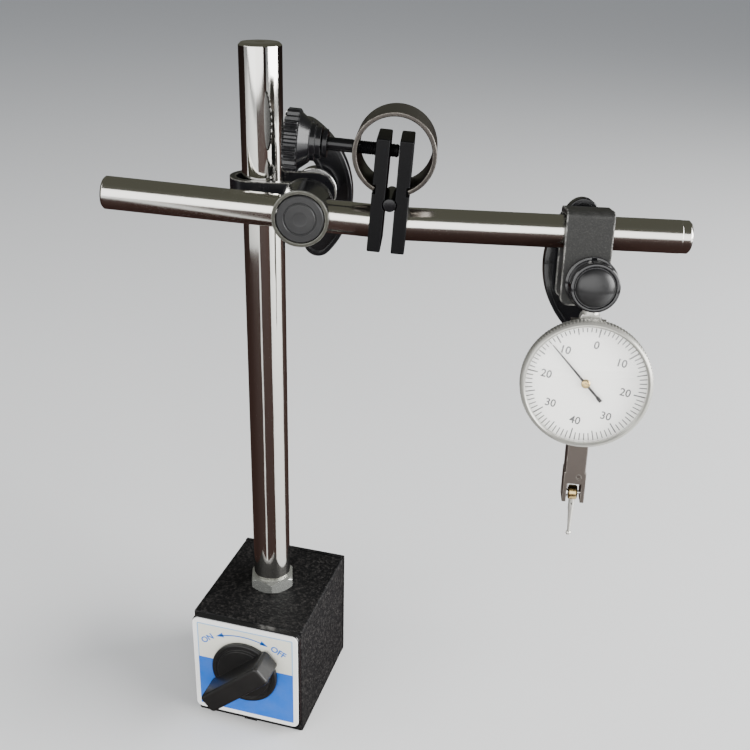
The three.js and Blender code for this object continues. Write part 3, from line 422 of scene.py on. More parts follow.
    def eased(
        self, radius: float, segments: int = 3, chosen: Callable[[Vector], bool] = lambda middle: True
    ) -> "Solid":
        """Rounds the sharp edges.

        Args:
            radius: the rounding's size.
            segments: the steps across it.
            chosen: tells from an edge's middle point whether it is rounded.

        Returns:
            The same shape.
        """
        sharp = [
            edge for edge in self.mesh.edges
            if edge.is_manifold and edge.calc_face_angle(0.0) > math.radians(SHARP)
            and chosen((edge.verts[0].co + edge.verts[1].co) / 2)
        ]
        bmesh.ops.bevel(
            self.mesh, geom=sharp, offset=radius, offset_type="OFFSET", segments=segments,
            profile=0.5, affect="EDGES", material=-1, clamp_overlap=True,
        )
        return self

    def _combined(self, other: "Solid", operation: str) -> "Solid":
        """Combines this shape with another.

        Args:
            other: the other shape, which is used up.
            operation: the Boolean modifier's operation.

        Returns:
            The same shape.
        """
        pair = []
        for solid in (self, other):
            mesh = bpy.data.meshes.new("working")
            solid.mesh.to_mesh(mesh)
            solid.mesh.free()
            pair.append(new_object("working", mesh))
        modifier = pair[0].modifiers.new("combine", "BOOLEAN")
        modifier.operation, modifier.solver, modifier.object = operation, "EXACT", pair[1]
        graph = bpy.context.evaluated_depsgraph_get()
        result = bmesh.new()
        result.from_mesh(pair[0].evaluated_get(graph).to_mesh())
        for made in pair:
            mesh = made.data
            bpy.data.objects.remove(made)
            bpy.data.meshes.remove(mesh)
        bmesh.ops.remove_doubles(result, verts=result.verts, dist=MERGE)
        bmesh.ops.dissolve_degenerate(result, edges=result.edges, dist=MERGE)
        self.mesh = result
        return self

    def cut(self, *others: "Solid") -> "Solid":
        """Takes other shapes out of this one.

        Args:
            others: the other shapes, which are used up.

        Returns:
            The same shape.
        """
        for other in others:
            self._combined(other, "DIFFERENCE")
        return self

    def joined(self, *others: "Solid") -> "Solid":
        """Joins other shapes to this one as one closed body.

        Args:
            others: the other shapes, which are used up.

        Returns:
            The same shape.
        """
        for other in others:
            self._combined(other, "UNION")
        return self

    def kept_inside(self, other: "Solid") -> "Solid":
        """Keeps only what lies inside another shape."""
        return self._combined(other, "INTERSECT")

    def together(self, other: "Solid") -> "Solid":
        """Adds a separate shape to this one without cutting either.

        Args:
            other: the other shape, which is used up.

        Returns:
            The same shape.
        """
        mesh = bpy.data.meshes.new("working")
        other.mesh.to_mesh(mesh)
        other.mesh.free()
        self.mesh.from_mesh(mesh)
        bpy.data.meshes.remove(mesh)
        return self


class Wiring:
    """Adds shader nodes to one tree and links them."""

    def __init__(self, tree: bpy.types.NodeTree) -> None:
        """Starts on an emptied tree."""
        tree.nodes.clear()
        self.tree = tree

    def feed(self, node: Node, socket: str | int, value: object) -> None:
        """Links a socket to an input, or sets the input's own value.

        Args:
            node: the node.
            socket: the input's name or number.
            value: the socket or the value.
        """
        if isinstance(value, NodeSocket):
            self.tree.links.new(value, node.inputs[socket])
        else:
            node.inputs[socket].default_value = value

    def fill(self, node: Node, values: Sequence[object], first: int = 0) -> Node:
        """Feeds a node's inputs by their numbers.

        Args:
            node: the node.
            values: the sockets or values, in the inputs' order.
            first: the number of the first input that is fed.

        Returns:
            The same node.
        """
        for number, value in enumerate(values, start=first):
            self.feed(node, number, value)
        return node

    def add(self, kind: str, settings: dict[str, object] | None = None, **inputs: object) -> Node:
        """Adds one node.

        Args:
            kind: the node's type, without its ShaderNode prefix.
            settings: the node's own properties.
            inputs: values or sockets for its inputs, with _ for a space.

        Returns:
            The node.
        """
        node = self.tree.nodes.new("ShaderNode" + kind)
        for key, value in (settings or {}).items():
            setattr(node, key, value)
        for key, value in inputs.items():
            self.feed(node, key.replace("_", " "), value)
        return node

    def maths(self, operation: str, *values: object, clamp: bool = False) -> NodeSocket:
        """Adds a Math node and gives its result."""
        return self.fill(self.add("Math", {"operation": operation, "use_clamp": clamp}), values).outputs[0]

    def vector(self, operation: str, *values: object) -> NodeSocket:
        """Adds a Vector Math node and gives its result."""
        node = self.fill(self.add("VectorMath", {"operation": operation}), values)
        return node.outputs["Value" if operation in ("LENGTH", "DOT_PRODUCT") else "Vector"]

    def blended(self, mask: object, first: object, second: object) -> NodeSocket:
        """Mixes two colours by a mask."""
        node = self.add("Mix", {"data_type": "RGBA"}, Factor=mask)
        return self.fill(node, (first, second), 6).outputs[2]

    def by_ray(self, kind: str, usual: Node, other: Node) -> NodeSocket:
        """Gives one shader to the rays of a kind, and the usual one to all others."""
        asked = self.add("LightPath").outputs[f"Is {kind} Ray"]
        return self.fill(self.add("MixShader"), (asked, usual.outputs[0], other.outputs[0])).outputs[0]

    def group(self, made: ShaderNodeTree, **inputs: object) -> Node:
        """Places a node group with its own values."""
        return self.add("Group", {"node_tree": made}, **inputs)


def rgba(colour: Triple) -> tuple[float, float, float, float]:
    """Adds a full alpha to a colour."""
    return (*colour, 1.0)


class Effects:
    """The effects that several finishes share, each a node group that is built once."""

    def __init__(self) -> None:
        """Builds the groups."""
        self.smudge = self._smudge()
        self.grain = self._grain()
        self.edges_worn_and_lit = self._edges_worn_and_lit()
        self.rings = self._rings()
        self.crinkle = self._crinkle()

    def _start(self, name: str, outputs: Sequence[str], **inputs: float) -> tuple[Wiring, dict, Node]:
        """Makes an empty group with its sockets, of which the first takes the place.

        Args:
            name: the group's name.
            outputs: the outputs' names.
            inputs: each further input's name and its usual value.

        Returns:
            The wiring, the inputs' sockets by name and the node that takes the results.
        """
        tree = bpy.data.node_groups.new(name, "ShaderNodeTree")
        wiring = Wiring(tree)
        tree.interface.new_socket("Place", in_out="INPUT", socket_type="NodeSocketVector")
        for key, value in inputs.items():
            socket = tree.interface.new_socket(key, in_out="INPUT", socket_type="NodeSocketFloat")
            socket.default_value = value
        for key in outputs:
            tree.interface.new_socket(key, in_out="OUTPUT", socket_type="NodeSocketFloat")
        entry = tree.nodes.new("NodeGroupInput")
        leave = tree.nodes.new("NodeGroupOutput")
        return wiring, {socket.name: socket for socket in entry.outputs}, leave

    def _smudge(self) -> ShaderNodeTree:
        """Builds soft patches that change the roughness, and give a mask for the colour.

        Returns:
            The group.
        """
        wiring, given, leave = self._start(
            "soft patches", ("Roughness", "Mask"), Scale=60.0, Roughness=0.3, Spread=0.05
        )
        noise = wiring.add("TexNoise", Vector=given["Place"], Scale=given["Scale"], Detail=5.0, Roughness=0.6)
        centred = wiring.maths("SUBTRACT", noise.outputs["Fac"], 0.5)
        spread = wiring.maths("MULTIPLY", centred, wiring.maths("MULTIPLY", given["Spread"], 2.0))
        wiring.feed(leave, "Roughness", wiring.maths("ADD", given["Roughness"], spread, clamp=True))
        wiring.feed(leave, "Mask", wiring.maths("MULTIPLY_ADD", centred, 2.5, 0.5, clamp=True))
        return wiring.tree

    def _grain(self) -> ShaderNodeTree:
        """Builds a fine surface grain as a height, stretched by the coordinates it is given.

        Returns:
            The group.
        """
        wiring, given, leave = self._start("fine grain", ("Height",), Scale=1500.0)
        coarse = wiring.add(
            "TexNoise", Vector=given["Place"], Scale=given["Scale"], Detail=3.0, Roughness=0.65,
        )
        wiring.feed(leave, "Height", coarse.outputs["Fac"])
        return wiring.tree

    def _edges_worn_and_lit(self) -> ShaderNodeTree:
        """Builds a mask of worn edges, broken up by patches.

        Returns:
            The group.
        """
        wiring, given, leave = self._start("worn and highlighted edges", ("Mask",), Width=0.0004)
        soft = wiring.add("Bevel", {"samples": 6}, Radius=given["Width"])
        plain = wiring.add("NewGeometry")
        alike = wiring.vector("DOT_PRODUCT", soft.outputs["Normal"], plain.outputs["Normal"])
        edge = wiring.maths("MULTIPLY", wiring.maths("SUBTRACT", 1.0, alike), 16.0, clamp=True)
        patches = wiring.add("TexNoise", Vector=given["Place"], Scale=420.0, Detail=4.0, Roughness=0.7)
        broken = wiring.maths("MULTIPLY_ADD", patches.outputs["Fac"], 4.0, -1.5, clamp=True)
        wiring.feed(leave, "Mask", wiring.maths("MULTIPLY", edge, broken))
        return wiring.tree

    def _rings(self) -> ShaderNodeTree:
        """Builds the fine rings that turning leaves round the Y axis.

        Returns:
            The group.
        """
        wiring, given, leave = self._start("turning rings", ("Height",), Pitch=0.0004)
        flat = wiring.vector("MULTIPLY", given["Place"], (1.0, 0.0, 1.0))
        reach = wiring.vector("LENGTH", flat)
        turns = wiring.maths("DIVIDE", reach, given["Pitch"])
        wave = wiring.maths("SINE", wiring.maths("MULTIPLY", turns, FULL_TURN))
        slower = wiring.maths("MULTIPLY", turns, 0.7)
        jitter = wiring.add("TexNoise", {"noise_dimensions": "1D"}, W=slower, Scale=1.0)
        mixed = wiring.maths("MULTIPLY", wave, jitter.outputs["Fac"])
        wiring.feed(leave, "Height", wiring.maths("MULTIPLY_ADD", mixed, 0.5, 0.5))
        return wiring.tree

    def _crinkle(self) -> ShaderNodeTree:
        """Builds the lumps of crinkle paint as a height and a mask of their tops.

        Returns:
            The group.
        """
        wiring, given, leave = self._start("paint crinkle", ("Height", "Tops"), Scale=900.0)
        cells = wiring.add(
            "TexVoronoi", {"feature": "SMOOTH_F1"}, Vector=given["Place"], Scale=given["Scale"],
            Randomness=1.0,
        )
        noise = wiring.add("TexNoise", Vector=given["Place"], Scale=given["Scale"], Detail=3.0, Roughness=0.7)
        lumps = wiring.maths("SUBTRACT", 1.0, cells.outputs["Distance"])
        wiring.feed(leave, "Height", wiring.maths("ADD", lumps, noise.outputs["Fac"]))
        wiring.feed(leave, "Tops", wiring.maths("MULTIPLY_ADD", noise.outputs["Fac"], 5.0, -2.5, clamp=True))
        return wiring.tree


class Grain(Enum):
    """The kinds of fine surface that a finish can have."""

    SMOOTH = "smooth"
    FINE = "fine"
    RINGS = "rings"
    CRINKLE = "crinkle"


@dataclass(frozen=True)
class Finish:
    """A finish that is the same kind all over a piece."""

    name: str
    colour: Triple
    roughness: float
    metallic: float = 0.0
    second: Triple | None = None
    spread: float = 0.05
    patches: float = 60.0
    grain: Grain = Grain.FINE
    grain_scale: float = 1500.0
    grain_depth: float = 0.00001
    stretch: Triple = (1.0, 1.0, 1.0)
    # Light colour along the edges and its width: partly edge wear, partly a painted highlight on the rims.
    edge_wear_and_highlight: Triple | None = None
    edge_wear_and_highlight_width: float = 0.0004
    coat: float = 0.0
    coat_roughness: float = 0.12
    gloss: float = 0.5

    @property
    def follows_piece(self) -> bool:
        """Tells whether the finish is laid out in the piece's own frame."""
        return self.grain is Grain.RINGS or self.stretch != (1.0, 1.0, 1.0)

    def place_nodes(self, wiring: Wiring, place: Place | None) -> NodeSocket:
        """Gives Object coordinates, brought into a piece's own frame and stretched.

        Args:
            wiring: the material's wiring.
            place: the piece's frame, or none for the part's.

        Returns:
            The coordinates' socket.
        """
        coordinates = wiring.add("TexCoord").outputs["Object"]
        if place is not None:
            back = place.matrix.inverted()
            coordinates = wiring.add(
                "Mapping", {"vector_type": "POINT"}, Vector=coordinates, Location=back.translation,
                Rotation=back.to_euler("XYZ"),
            ).outputs["Vector"]
        if self.stretch != (1.0, 1.0, 1.0):
            coordinates = wiring.vector("MULTIPLY", coordinates, self.stretch)
        return coordinates

    def build(self, effects: Effects, place: Place | None, label: str) -> Material:
        """Builds the material.

        Args:
            effects: the shared node groups.
            place: the piece's own frame, for rings and stretched grain.
            label: the material's name.

        Returns:
            The material.
        """
        material = bpy.data.materials.new(label)
        material.use_nodes = True
        wiring = Wiring(material.node_tree)
        shader = wiring.add(
            "BsdfPrincipled", Metallic=self.metallic, Specular_IOR_Level=self.gloss, Coat_Weight=self.coat,
            Coat_Roughness=self.coat_roughness,
        )
        wiring.add("OutputMaterial", Surface=shader.outputs[0])
        at = self.place_nodes(wiring, place)
        patches = wiring.group(
            effects.smudge, Place=at, Scale=self.patches, Roughness=self.roughness, Spread=self.spread
        )
        colour: object = rgba(self.colour)
        if self.second is not None:
            colour = wiring.blended(patches.outputs["Mask"], rgba(self.colour), rgba(self.second))
        height = None
        if self.grain is Grain.FINE:
            height = wiring.group(effects.grain, Place=at, Scale=self.grain_scale).outputs["Height"]
        if self.grain is Grain.RINGS:
            height = wiring.group(effects.rings, Place=at, Pitch=1.0 / self.grain_scale).outputs["Height"]
        if self.grain is Grain.CRINKLE:
            lumps = wiring.group(effects.crinkle, Place=at, Scale=self.grain_scale)
            height = lumps.outputs["Height"]
            raised = rgba(self.second or self.colour)
            colour = wiring.blended(lumps.outputs["Tops"], rgba(self.colour), raised)
        # Lightens every edge: partly wear, partly a painted highlight along the rims.
        if self.edge_wear_and_highlight is not None:
            edges_worn_and_lit = wiring.group(effects.edges_worn_and_lit, Place=at, Width=self.edge_wear_and_highlight_width)
            colour = wiring.blended(edges_worn_and_lit.outputs["Mask"], colour, rgba(self.edge_wear_and_highlight))
        wiring.feed(shader, "Base Color", colour)
        wiring.feed(shader, "Roughness", patches.outputs["Roughness"])
        if height is not None:
            bump = wiring.add("Bump", Strength=1.0, Distance=self.grain_depth, Height=height)
            wiring.feed(shader, "Normal", bump.outputs["Normal"])
        return material


@dataclass(frozen=True)
class Window:
    """The clear window over the dial."""

    name: str = "clear_window"
    roughness: float = 0.02
    bend: float = 1.3

    def build(self, place: Place) -> Material:
        """Builds a clear pane that lets the light through, with faint patches in its gloss.

        Args:
            place: the window's own frame.

        Returns:
            The material.
        """
        material = bpy.data.materials.new(self.name)
        material.use_nodes = True
        wiring = Wiring(material.node_tree)
        shader = wiring.add(
            "BsdfPrincipled", IOR=self.bend, Transmission_Weight=1.0, Base_Color=rgba((1.0, 1.0, 1.0)),
        )
        spot = wiring.add("TexCoord").outputs["Object"]
        noise = wiring.add("TexNoise", Vector=spot, Scale=80.0, Detail=3.0)
        wiring.feed(shader, "Roughness", wiring.maths("MULTIPLY", noise.outputs["Fac"], self.roughness))
        wiring.add("OutputMaterial", Surface=wiring.by_ray("Shadow", shader, wiring.add("BsdfTransparent")))
        return material


@dataclass(frozen=True)
class PrintedPlate:
    """The plate's print: a white border, a thin line and two fields."""

    name: str = "printed_plate"
    half_width: float = 24.2
    half_height: float = 24.4
    corner: float = 2.6
    border: float = 2.1
    line: float = 0.5
    field_edge: float = 4.0
    white: Triple = (0.86, 0.86, 0.84)
    line_colour: Triple = (0.22, 0.42, 0.68)
    upper: Triple = (0.72, 0.71, 0.62)
    lower: Triple = (0.0, 0.12, 0.56)

    def build(self, place: Place) -> Material:
        """Builds the print from the distance to the plate's rounded edge.

        Args:
            place: the plate's middle, with X and Z in its plane.

        Returns:
            The material.
        """
        material = bpy.data.materials.new(self.name)
        material.use_nodes = True
        wiring = Wiring(material.node_tree)
        shader = wiring.add("BsdfPrincipled")
        wiring.add("OutputMaterial", Surface=shader.outputs[0])
        coordinates = wiring.add("TexCoord").outputs["Object"]
        shift = place.matrix.inverted().translation
        own = wiring.add("Mapping", {"vector_type": "POINT"}, Vector=coordinates, Location=shift)
        in_millimetres = wiring.vector("MULTIPLY", own.outputs["Vector"], (1 / MM,) * 3)
        apart = wiring.add("SeparateXYZ", Vector=in_millimetres)
        sides = []
        for name, half in (("X", self.half_width), ("Z", self.half_height)):
            far = wiring.maths("ABSOLUTE", apart.outputs[name])
            sides.append(wiring.maths("SUBTRACT", far, half - self.corner))
        beyond = [wiring.maths("MAXIMUM", side, 0.0) for side in sides]
        squares = wiring.maths("ADD", *[wiring.maths("POWER", side, 2.0) for side in beyond])
        inside = wiring.maths("MINIMUM", wiring.maths("MAXIMUM", *sides), 0.0)
        whole = wiring.maths("ADD", wiring.maths("SQRT", squares), inside)
        edge = wiring.maths("SUBTRACT", whole, self.corner)
        inset = wiring.maths("MULTIPLY", edge, -1.0)
        low = wiring.maths("LESS_THAN", apart.outputs["Z"], self.field_edge)
        fields = wiring.blended(low, rgba(self.upper), rgba(self.lower))
        rim = wiring.blended(low, rgba(self.line_colour), rgba(self.lower))
        past_line = wiring.maths("GREATER_THAN", inset, self.border + self.line)
        inner = wiring.blended(past_line, rim, fields)
        printed = wiring.blended(wiring.maths("GREATER_THAN", inset, self.border), rgba(self.white), inner)
        soil = wiring.add("TexNoise", Vector=coordinates, Scale=140.0, Detail=6.0, Roughness=0.6)
        dull = wiring.maths("MULTIPLY_ADD", soil.outputs["Fac"], 0.16, -0.05, clamp=True)
        wiring.feed(shader, "Base Color", wiring.blended(dull, printed, (0.5, 0.5, 0.44, 1.0)))
        wiring.feed(shader, "Roughness", wiring.maths("MULTIPLY_ADD", soil.outputs["Fac"], 0.2, 0.22))
        return material


class Finishes:
    """Every finish on the stand."""

    def __init__(self) -> None:
        """Sets out the finishes and the groups that they share."""
        self.effects = Effects()
        self.built: dict[str, Material] = {}
        self.chrome = Finish(
            "chrome", (0.74, 0.73, 0.69), 0.075, metallic=1.0, spread=0.03, patches=45.0,
            second=(0.66, 0.645, 0.60), grain_scale=260.0, grain_depth=0.00004, stretch=(1.0, 1.0, 0.06),
        )
        self.arm_chrome = replace(self.chrome, name="arm_chrome", stretch=(0.06, 1.0, 1.0), roughness=0.15)
        self.nut_chrome = Finish(
            "nut_chrome", (0.52, 0.53, 0.50), 0.22, metallic=0.82, spread=0.04, second=(0.44, 0.45, 0.42),
        )
        self.crinkle_paint = Finish(
            "crinkle_paint", (0.003, 0.003, 0.0035), 0.6, second=(0.040, 0.037, 0.035), spread=0.12,
            grain=Grain.CRINKLE, grain_scale=900.0, grain_depth=0.0003, gloss=0.2,
        )
        self.gloss_paint = Finish("gloss_paint", (0.008, 0.008, 0.009), 0.16, spread=0.08, coat=0.6)
        self.knob_plastic = Finish(
            "knob_plastic", (0.008, 0.008, 0.008), 0.42, spread=0.1, grain_scale=2600.0, grain_depth=0.00003,
            second=(0.013, 0.012, 0.011), edge_wear_and_highlight=(0.045, 0.044, 0.042), gloss=0.4,
        )
        # The light edge colour here is a painted highlight along the rims and ribs.
        self.lever_plastic = Finish(
            "lever_plastic", (0.005, 0.005, 0.006), 0.2, spread=0.08, grain_scale=900.0, grain_depth=0.00002,
            edge_wear_and_highlight=(0.05, 0.05, 0.05), coat=0.2, gloss=0.4,
        )
        self.black_paint = Finish(
            "black_paint", (0.007, 0.007, 0.009), 0.28, spread=0.1, grain_depth=0.00003,
            edge_wear_and_highlight=(0.38, 0.37, 0.33), edge_wear_and_highlight_width=0.0008, coat=0.2, gloss=0.4,
        )
        self.black_oxide = Finish(
            "black_oxide", (0.0025, 0.0025, 0.003), 0.42, metallic=0.05, spread=0.08, grain_depth=0.00002,
            edge_wear_and_highlight=(0.02, 0.02, 0.023), gloss=0.16,
        )
        self.screw_black = Finish(
            "screw_black", (0.007, 0.007, 0.008), 0.22, metallic=0.2, spread=0.08, gloss=0.4,
        )
        # The light edge colour here is a painted highlight along the rims.
        self.gloss_black = Finish(
            "gloss_black", (0.004, 0.004, 0.005), 0.12, coat=0.3, edge_wear_and_highlight=(0.14, 0.14, 0.135), edge_wear_and_highlight_width=0.0003,
            gloss=0.45,
        )
        self.dome_plastic = Finish(
            "dome_plastic", (0.011, 0.011, 0.012), 0.36, spread=0.06, grain_scale=2600.0, grain_depth=0.00002,
            second=(0.016, 0.016, 0.016),
        )
        self.grey_paint = Finish(
            "grey_paint", (0.018, 0.018, 0.017), 0.44, metallic=0.2, spread=0.1, grain=Grain.CRINKLE,
            grain_scale=1700.0, grain_depth=0.00005, second=(0.034, 0.033, 0.031), edge_wear_and_highlight=(0.5, 0.49, 0.46),
            edge_wear_and_highlight_width=0.0009, gloss=0.35,
        )
        self.olive_steel = Finish(
            "olive_steel", (0.062, 0.061, 0.050), 0.34, metallic=0.4, spread=0.1, grain=Grain.RINGS,
            grain_scale=2600.0, edge_wear_and_highlight=(0.42, 0.42, 0.38), edge_wear_and_highlight_width=0.0005,
        )
        self.turned_black = Finish(
            "turned_black", (0.020, 0.020, 0.021), 0.42, metallic=0.35, spread=0.06, grain=Grain.RINGS,
            grain_scale=1900.0, grain_depth=0.00002, second=(0.034, 0.034, 0.034),
        )
        self.spring_steel = Finish(
            "spring_steel", (0.085, 0.075, 0.066), 0.3, metallic=0.85, spread=0.08, patches=35.0,
            second=(0.055, 0.05, 0.048), grain_scale=700.0, grain_depth=0.00002, edge_wear_and_highlight=(0.34, 0.32, 0.28),
            edge_wear_and_highlight_width=0.0006,
        )
        self.satin_nickel = Finish(
            "satin_nickel", (0.165, 0.142, 0.126), 0.36, metallic=0.85, spread=0.08, grain_scale=2500.0,
            grain_depth=0.000015, second=(0.13, 0.112, 0.100), edge_wear_and_highlight=(0.6, 0.57, 0.52),
        )
        self.silver_nickel = Finish(
            "silver_nickel", (0.70, 0.69, 0.64), 0.32, metallic=0.75, spread=0.08, grain_scale=2500.0,
            second=(0.62, 0.61, 0.57),
        )
        self.bright_steel = Finish(
            "bright_steel", (0.62, 0.62, 0.61), 0.2, metallic=1.0, spread=0.07, grain_scale=1700.0,
        )
        self.ground_steel = Finish(
            "ground_steel", (0.45, 0.45, 0.44), 0.3, metallic=1.0, spread=0.1, stretch=(1.0, 0.04, 1.0),
            grain_scale=2500.0,
        )
        self.brass = Finish(
            "brass", (0.62, 0.47, 0.22), 0.26, metallic=1.0, spread=0.08, second=(0.5, 0.37, 0.17),
            grain_scale=1400.0,
        )
        self.champagne = Finish(
            "champagne", (0.44, 0.435, 0.395), 0.3, metallic=0.55, spread=0.06, grain=Grain.RINGS,
            grain_scale=3800.0, grain_depth=0.000006, second=(0.38, 0.375, 0.34),
        )
        self.dial_white = Finish(
            "dial_white", (0.80, 0.795, 0.765), 0.55, spread=0.06, grain_scale=3000.0, grain_depth=0.000006,
            second=(0.77, 0.765, 0.735),
        )
        self.dial_ink = Finish("dial_ink", (0.040, 0.040, 0.043), 0.5, second=(0.07, 0.07, 0.07))
        self.plate_ink = Finish("plate_ink", (0.0, 0.11, 0.50), 0.4, second=(0.0, 0.14, 0.55))
        self.needle_black = Finish("needle_black", (0.02, 0.018, 0.018), 0.35, metallic=0.3)
        self.ruby = Finish("ruby", (0.4, 0.01, 0.05), 0.1, spread=0.03, grain_depth=0.00002, coat=0.5)
        self.ferrite = Finish(
            "ferrite", (0.05, 0.05, 0.055), 0.6, metallic=0.2, grain_scale=900.0, grain_depth=0.00002,
        )
        self.window = Window()
        self.plate = PrintedPlate()

    def of(self, finish: "Finish | Window | PrintedPlate", place: Place, label: str) -> Material:
        """Builds a finish for a piece, or gives the one that is already built.

        Args:
            finish: the finish.
            place: the piece's own frame.
            label: the piece's name.

        Returns:
            The material.
        """
        own = not isinstance(finish, Finish) or finish.follows_piece
        key = f"{finish.name}_{label}" if own else finish.name
        if key not in self.built:
            if isinstance(finish, Finish):
                self.built[key] = finish.build(self.effects, place if own else None, key)
            else:
                self.built[key] = finish.build(place)
        return self.built[key]


@dataclass(frozen=True)
class Lettering:
    """Flat print in Blender's own plain typeface, with a little thickness."""

    height: float
    weight: float = 0.0
    thickness: float = 0.03
    capital_share: float = 0.71

    def words(self, text: str) -> Solid:
        """Makes a word that stands in front of Y = 0, centred on the origin.

        Args:
            text: the word.

        Returns:
            The letters as one shape that reads from the viewer's side.
        """
        curve = bpy.data.curves.new("words", "FONT")
        curve.body, curve.size = text, self.height / self.capital_share
        curve.align_x, curve.align_y = "CENTER", "CENTER"
        curve.extrude, curve.offset = self.thickness / 2, self.weight
        curve.resolution_u = 4
        holder = new_object("words", curve)
        made = bpy.data.meshes.new_from_object(holder.evaluated_get(bpy.context.evaluated_depsgraph_get()))
        mesh = bmesh.new()
        mesh.from_mesh(made)
        bmesh.ops.remove_doubles(mesh, verts=mesh.verts, dist=MERGE)
        bmesh.ops.recalc_face_normals(mesh, faces=mesh.faces)
        bpy.data.objects.remove(holder)
        bpy.data.curves.remove(curve)
        bpy.data.meshes.remove(made)
        return Solid(mesh).spun(90.0, Axis.X).moved(y=-self.thickness / 2)


@dataclass(frozen=True)
class SubAssembly:
    """A group of pieces that are built together, and what all such groups need."""

    rides_on: ClassVar[str] = ""
    places: Places
    finishes: Finishes

    def put(
        self, solid: Solid, place: Place, finish: Finish | Window | PrintedPlate,
        name: str, slot: str, *nodes: str, body: str = "", smooth_angle: float = 32.0,
    ) -> None:
        """Puts a solid in the scene as a piece, at the origin, with its place in its mesh.

        Args:
            solid: the shape, in millimetres in its own frame.
            place: where that frame lies.
            finish: the finish.
            name: the piece's name.
            slot: the material slot that it belongs to.
            nodes: the plain solids that it stands for.
            body: the body that it rides on, where it isn't the group's own.
            smooth_angle: the widest bend that is shaded smooth, in degrees.
        """
        mesh = bpy.data.meshes.new(name)
        solid.mesh.to_mesh(mesh)
        solid.mesh.free()
        mesh.transform(place.matrix @ Matrix.Scale(MM, 4))
        mesh.shade_smooth()
        mesh.set_sharp_from_angle(angle=math.radians(smooth_angle))
        mesh.materials.append(self.finishes.of(finish, place, name))
        made = new_object(name, mesh)
        evened = made.modifiers.new("even_normals", "WEIGHTED_NORMAL")
        evened.weight, evened.keep_sharp = 100, True
        body = body or self.rides_on
        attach(made, body)
        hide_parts(*nodes)
        log.info("%s rides on %s, %d faces", name, body, len(mesh.polygons))

    def dress(self, finish: Finish, place: Place, *nodes: str) -> None:
        """Gives its finish to each plain solid that stays in the scene.

        Args:
            finish: the finish.
            place: the frame that its rings or grain follow.
            nodes: the solids' names.
        """
        for node in nodes:
            for held in frame["nodes"][node].material_slots:
                held.material = self.finishes.of(finish, place, node)
            log.info("%s stays as it is, in %s", node, finish.name)


